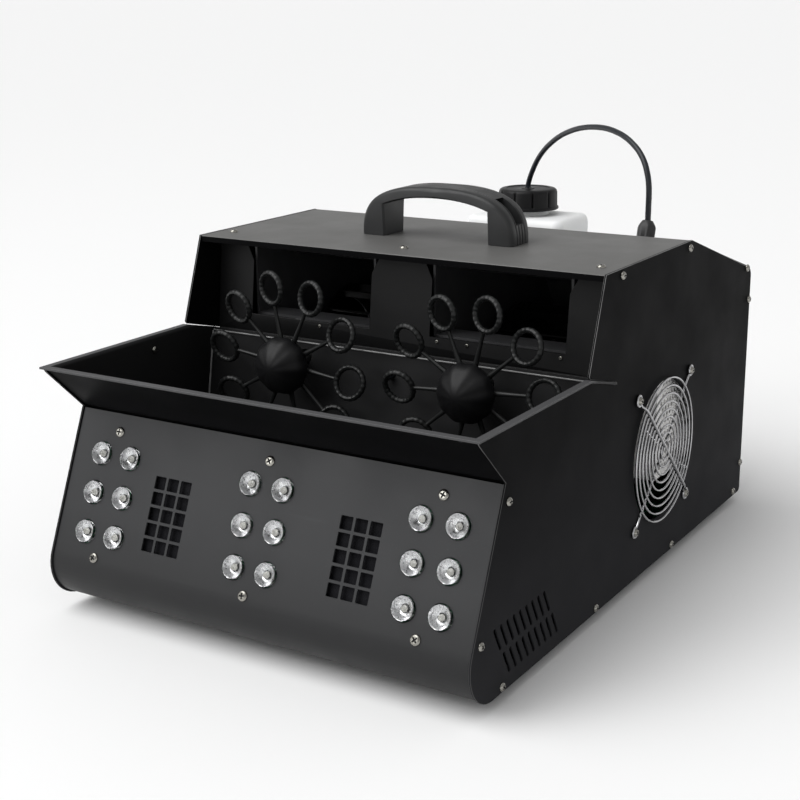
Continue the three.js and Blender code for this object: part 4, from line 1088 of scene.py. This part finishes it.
def cap_shape():
    """A screw cap with grip panels between narrow grooves, a skirt and a hose hole."""
    # past the cap's radius, over its lower edge, and the share of the grip that is cut
    skirt = [(1.2, 0, 0), (1.4, 0.4, 0), (1.2, 1.9, 0), (0.2, 2.5, 0), (0, 3.4, 1)]
    # the same, but measured down from its top
    crown = [(-0.2, 3.4, 1), (-0.6, 2.2, 0.5), (-1.2, 1.2, 0), (-2.4, 0.4, 0), (-4, 0, 0), (-7, 0, 0),
             (-7.5, 0.6, 0), (6.6 - CAP_RADIUS, 0.6, 0), (6 - CAP_RADIUS, 0, 0), (3.5 - CAP_RADIUS, 0, 0),
             (3.5 - CAP_RADIUS, 3, 0), (NECK + 1.2 - CAP_RADIUS, 3, 0),
             (NECK + 1.2 - CAP_RADIUS, CAP_TOP - CAP_BOTTOM, 0)]
    levels = [(past, CAP_BOTTOM + rise, cut) for past, rise, cut in skirt]
    levels += [(past, CAP_TOP - drop, cut) for past, drop, cut in crown]
    rings = [polar(160, z, lambda a: CAP_RADIUS + past - cut * grip(a)) for past, z, cut in levels]
    return Shape().loft(rings, Matrix.Translation(BOTTLE_AT), True)


def hexagon(angle):
    """A hexagon's reach over its inner circle, with blunted corners."""
    return min(1 / cos(angle % (TAU / 6) - TAU / 12), 1.12)


def gland():
    base = facing(SLOPE_NORMAL, GLAND_BASE, (0, 1, 0))
    body = Shape().plate(circle(8.4, 6), GAP, 5, base, [circle(3.2, 24)], 0.5)
    body.turned([(3.2, -12), (6.9, -12), (7.1, -11.6), (7.1, 0.4), (3.2, 0.4)], base, 32, True)
    levels = [(6.9, 5.3, 0), (7.2, 5.8, 1), (7.2, 15.8, 1), (7.0, 17.2, 0.8), (6.3, 19, 0.4), (5.3, 20.6, 0),
              (4.7, 21.6, 0), (4.3, GLAND_HEIGHT, 0), (3.1, GLAND_HEIGHT, 0), (3.1, 5.3, 0)]
    rings = [polar(96, height, lambda a: radius * (1 + flat * (hexagon(a) - 1)))
             for radius, height, flat in levels]
    nut = Shape().loft(rings, base, True)
    piece("cable_gland", body, BLACK_PLASTIC, instead_of="gland_body")
    piece("cable_gland_nut", nut, BLACK_PLASTIC, instead_of="gland_nut", smooth=40)


piece("feed_bottle", bottle_shape(), MILKY, instead_of="bottle", smooth=45)
piece("screw_cap", cap_shape(), CAP_PLASTIC, "cap", "bottle_cap")
gland()


# ------ pump and electrics


def perforated(u0, u1, v0, v1, pitch, radius):
    """Hexagonally staggered round holes that fill a rectangle."""
    holes = []
    row_height = pitch * sqrt(3) / 2
    rows = int((v1 - v0 - 2 * radius) / row_height) + 1
    for j in range(rows):
        shift = pitch / 2 if j % 2 else 0
        count = int((u1 - u0 - 2 * radius - shift) / pitch) + 1
        holes += [circle(radius, 8, u0 + radius + shift + i * pitch, v0 + radius + j * row_height)
                  for i in range(count)]
    return holes


def power_supply():
    """A perforated steel cover over a core in painted shade, with a terminal block beside the holes."""
    low, high = housing_box("power_supply")
    outer = high.x - 7.4
    holes = perforated(low.y + 8, high.y - 22, low.z + 7, high.z - 7, 6.2, 2.0)
    shape = Shape().plate(rectangle(low.y, high.y, low.z, high.z), outer - 1, outer, ALONG_X, holes, 0)
    section = [(outer - 1, low.y), (low.x, low.y), (low.x, high.y), (outer - 1, high.y)]
    shape.plate(folded(section, -1), low.z, high.z, None, (), 0)
    for z in (low.z, high.z - 1):
        shape.block(low.x, outer, low.y, high.y, z, z + 1, 0)
    shape.block(outer - 1, high.x, high.y - 16, high.y - 1, low.z + 6, high.z - 6)
    piece("supply_cover", shape, GALVANISED, instead_of="power_supply")
    core = Shape().block(low.x + 1.5, outer - 4, low.y + 3, high.y - 3, low.z + 3, high.z - 3)
    # a near-black block behind the holes: painted shade
    piece("supply_core", core, PAINTED_SHADE)


power_supply()

INLET_AT, DMX_AT, DISPLAY_AT = (148, 36), ((35, 42), (68, 42)), (92, 150)
PIN_CIRCLE = 4.6


def on_rear(x, z, depth=0.0):
    """A place on the rear panel's face, its Z pointing back and its Y up."""
    return facing((0, 1, 0), (x, depth, z))


def socket_details():
    """The inlet's blades, the male socket's pins and the female socket's insert."""
    contacts = Shape()
    for dx, dz in ((-5, -1.6), (5, -1.6), (0, 2.4)):
        place = on_rear(INLET_AT[0] + dx, INLET_AT[1] + dz)
        contacts.plate(rectangle(-1, 1, -2, 2), -15.8, -4, place, (), 0.4)
    for x, z in circle(PIN_CIRCLE, 3, *DMX_AT[0], TAU / 4):
        contacts.turned([(0, -12), (1.1, -12), (1.1, -3.6), (0.5, -2.8), (0, -2.8)], on_rear(x, z), 16)
    piece("socket_contacts", contacts, BRASS)
    holes = [circle(1.4, 16, x, y) for x, y in circle(PIN_CIRCLE, 3, turn=TAU / 4)]
    insert = Shape().plate(circle(8.2, 40), -12, -3.4, on_rear(*DMX_AT[1]), holes, 0.3)
    piece("socket_insert", insert, BLACK_PLASTIC)


def display():
    """The window and, on it, four unlit digits of seven strokes."""
    x, z = DISPLAY_AT
    glass = Shape().plate(rectangle(-25.6, 25.6, 1.4, 15.6), 1.25, 1.75, on_rear(x, z), (), 0.15)
    piece("display_window", glass, SCREEN)
    strokes = [(-2.4, 2.4, middle - 0.4, middle + 0.4) for middle in (4.8, 0, -4.8)]
    strokes += [(left, left + 0.7, low, low + 3.7) for low in (0.6, -4.3) for left in (-3.2, 2.5)]
    digits = Shape()
    for dx in (-15, -5, 5, 15):
        for stroke in strokes:
            digits.plate(rectangle(*stroke), 1.76, 1.8, on_rear(x + dx, z + 8.5), (), 0)
    piece("display_segments", digits, DARK_SEGMENT)


def rear_screws():
    x, z = DISPLAY_AT
    spots = [(x + dx, z + dz, 2.0) for dx in (-38.5, 38.5) for dz in (-23.5, 23.5)]
    spots += [(x + dx, z + dz, 2.2) for x, z in DMX_AT for dx, dz in ((-9.6, 12), (9.6, -12))]
    screws("rear_flange_screws", [on_rear(*spot) for spot in spots], 1.9, 1.1)
    face = housing_box("rear_panel")[1].y
    places = [on_rear(x, z, face) for x in (-168, -60, 60, 168) for z in (9, 196)]
    screws("rear_panel_screws", places, 3.0, 1.7)


socket_details()
display()
rear_screws()

for material, nodes in (
    (BOARD, ["control_board"]),
    (BLACK_PLASTIC, ["pump_body", "pump_rotor", "power_inlet", "switch_body", "switch_rocker",
                     "display_bezel"]),
    (ZINC, ["dmx_in", "dmx_out"]),
    (GLOSS_PLASTIC, [f"menu_button_{i}" for i in range(1, 5)]),
    (HOSE, ["dip_tube", "suction_tube", "delivery_tube"]),
    (RUBBER, [f"foot_{end}_{side}" for end in ("front", "rear") for side, _ in SIDES]),
):
    for node in nodes:
        dress(node, material)


# ------ floor and light


def make_floor():
    mesh = bpy.data.meshes.new("floor")
    mesh.from_pydata([(-200, -200, 0), (200, -200, 0), (200, 200, 0), (-200, 200, 0)], [], [(0, 1, 2, 3)])
    ground = Finish("floor_paper", (0.93, 0.93, 0.93), 0.75)
    ground.grain(ground.noise(60, 2), 0.0002, 0.1)
    mesh.materials.append(ground.material)
    put("floor", mesh)


def make_light():
    """A bright horizon under a dimmer sky, a soft sun and a weak box in front."""
    world = bpy.data.worlds.new("studio")
    world.use_nodes = True
    bpy.context.scene.world = world
    tree = world.node_tree
    direction = new_node(tree, "TexCoord").outputs["Generated"]
    upward = new_node(tree, "SeparateXYZ", Vector=direction).outputs["Z"]
    fill(tree.nodes["Background"], Color=(1, 1, 1, 1), Strength=graded(upward, 0.04, 0.3, 0.95, 0.46))
    sun = bpy.data.lights.new("soft_key", "SUN")
    sun.energy, sun.angle = 2.05, radians(55)
    box = bpy.data.lights.new("front_box", "AREA")
    box.shape = "RECTANGLE"
    box.size, box.size_y = 1.6, 1.2
    box.energy = 18
    for light, at, aim in ((sun, (0, 0, 0), (0.45, 0.5, -1)), (box, (-1.4, -2.4, 1.5), (1.4, 2.3, -1.38))):
        lamp = put(light.name, light)
        lamp.location = at
        lamp.rotation_euler = Vector(aim).to_track_quat("-Z", "Y").to_euler()
    bpy.context.scene.view_settings.view_transform = "Standard"


make_floor()
make_light()
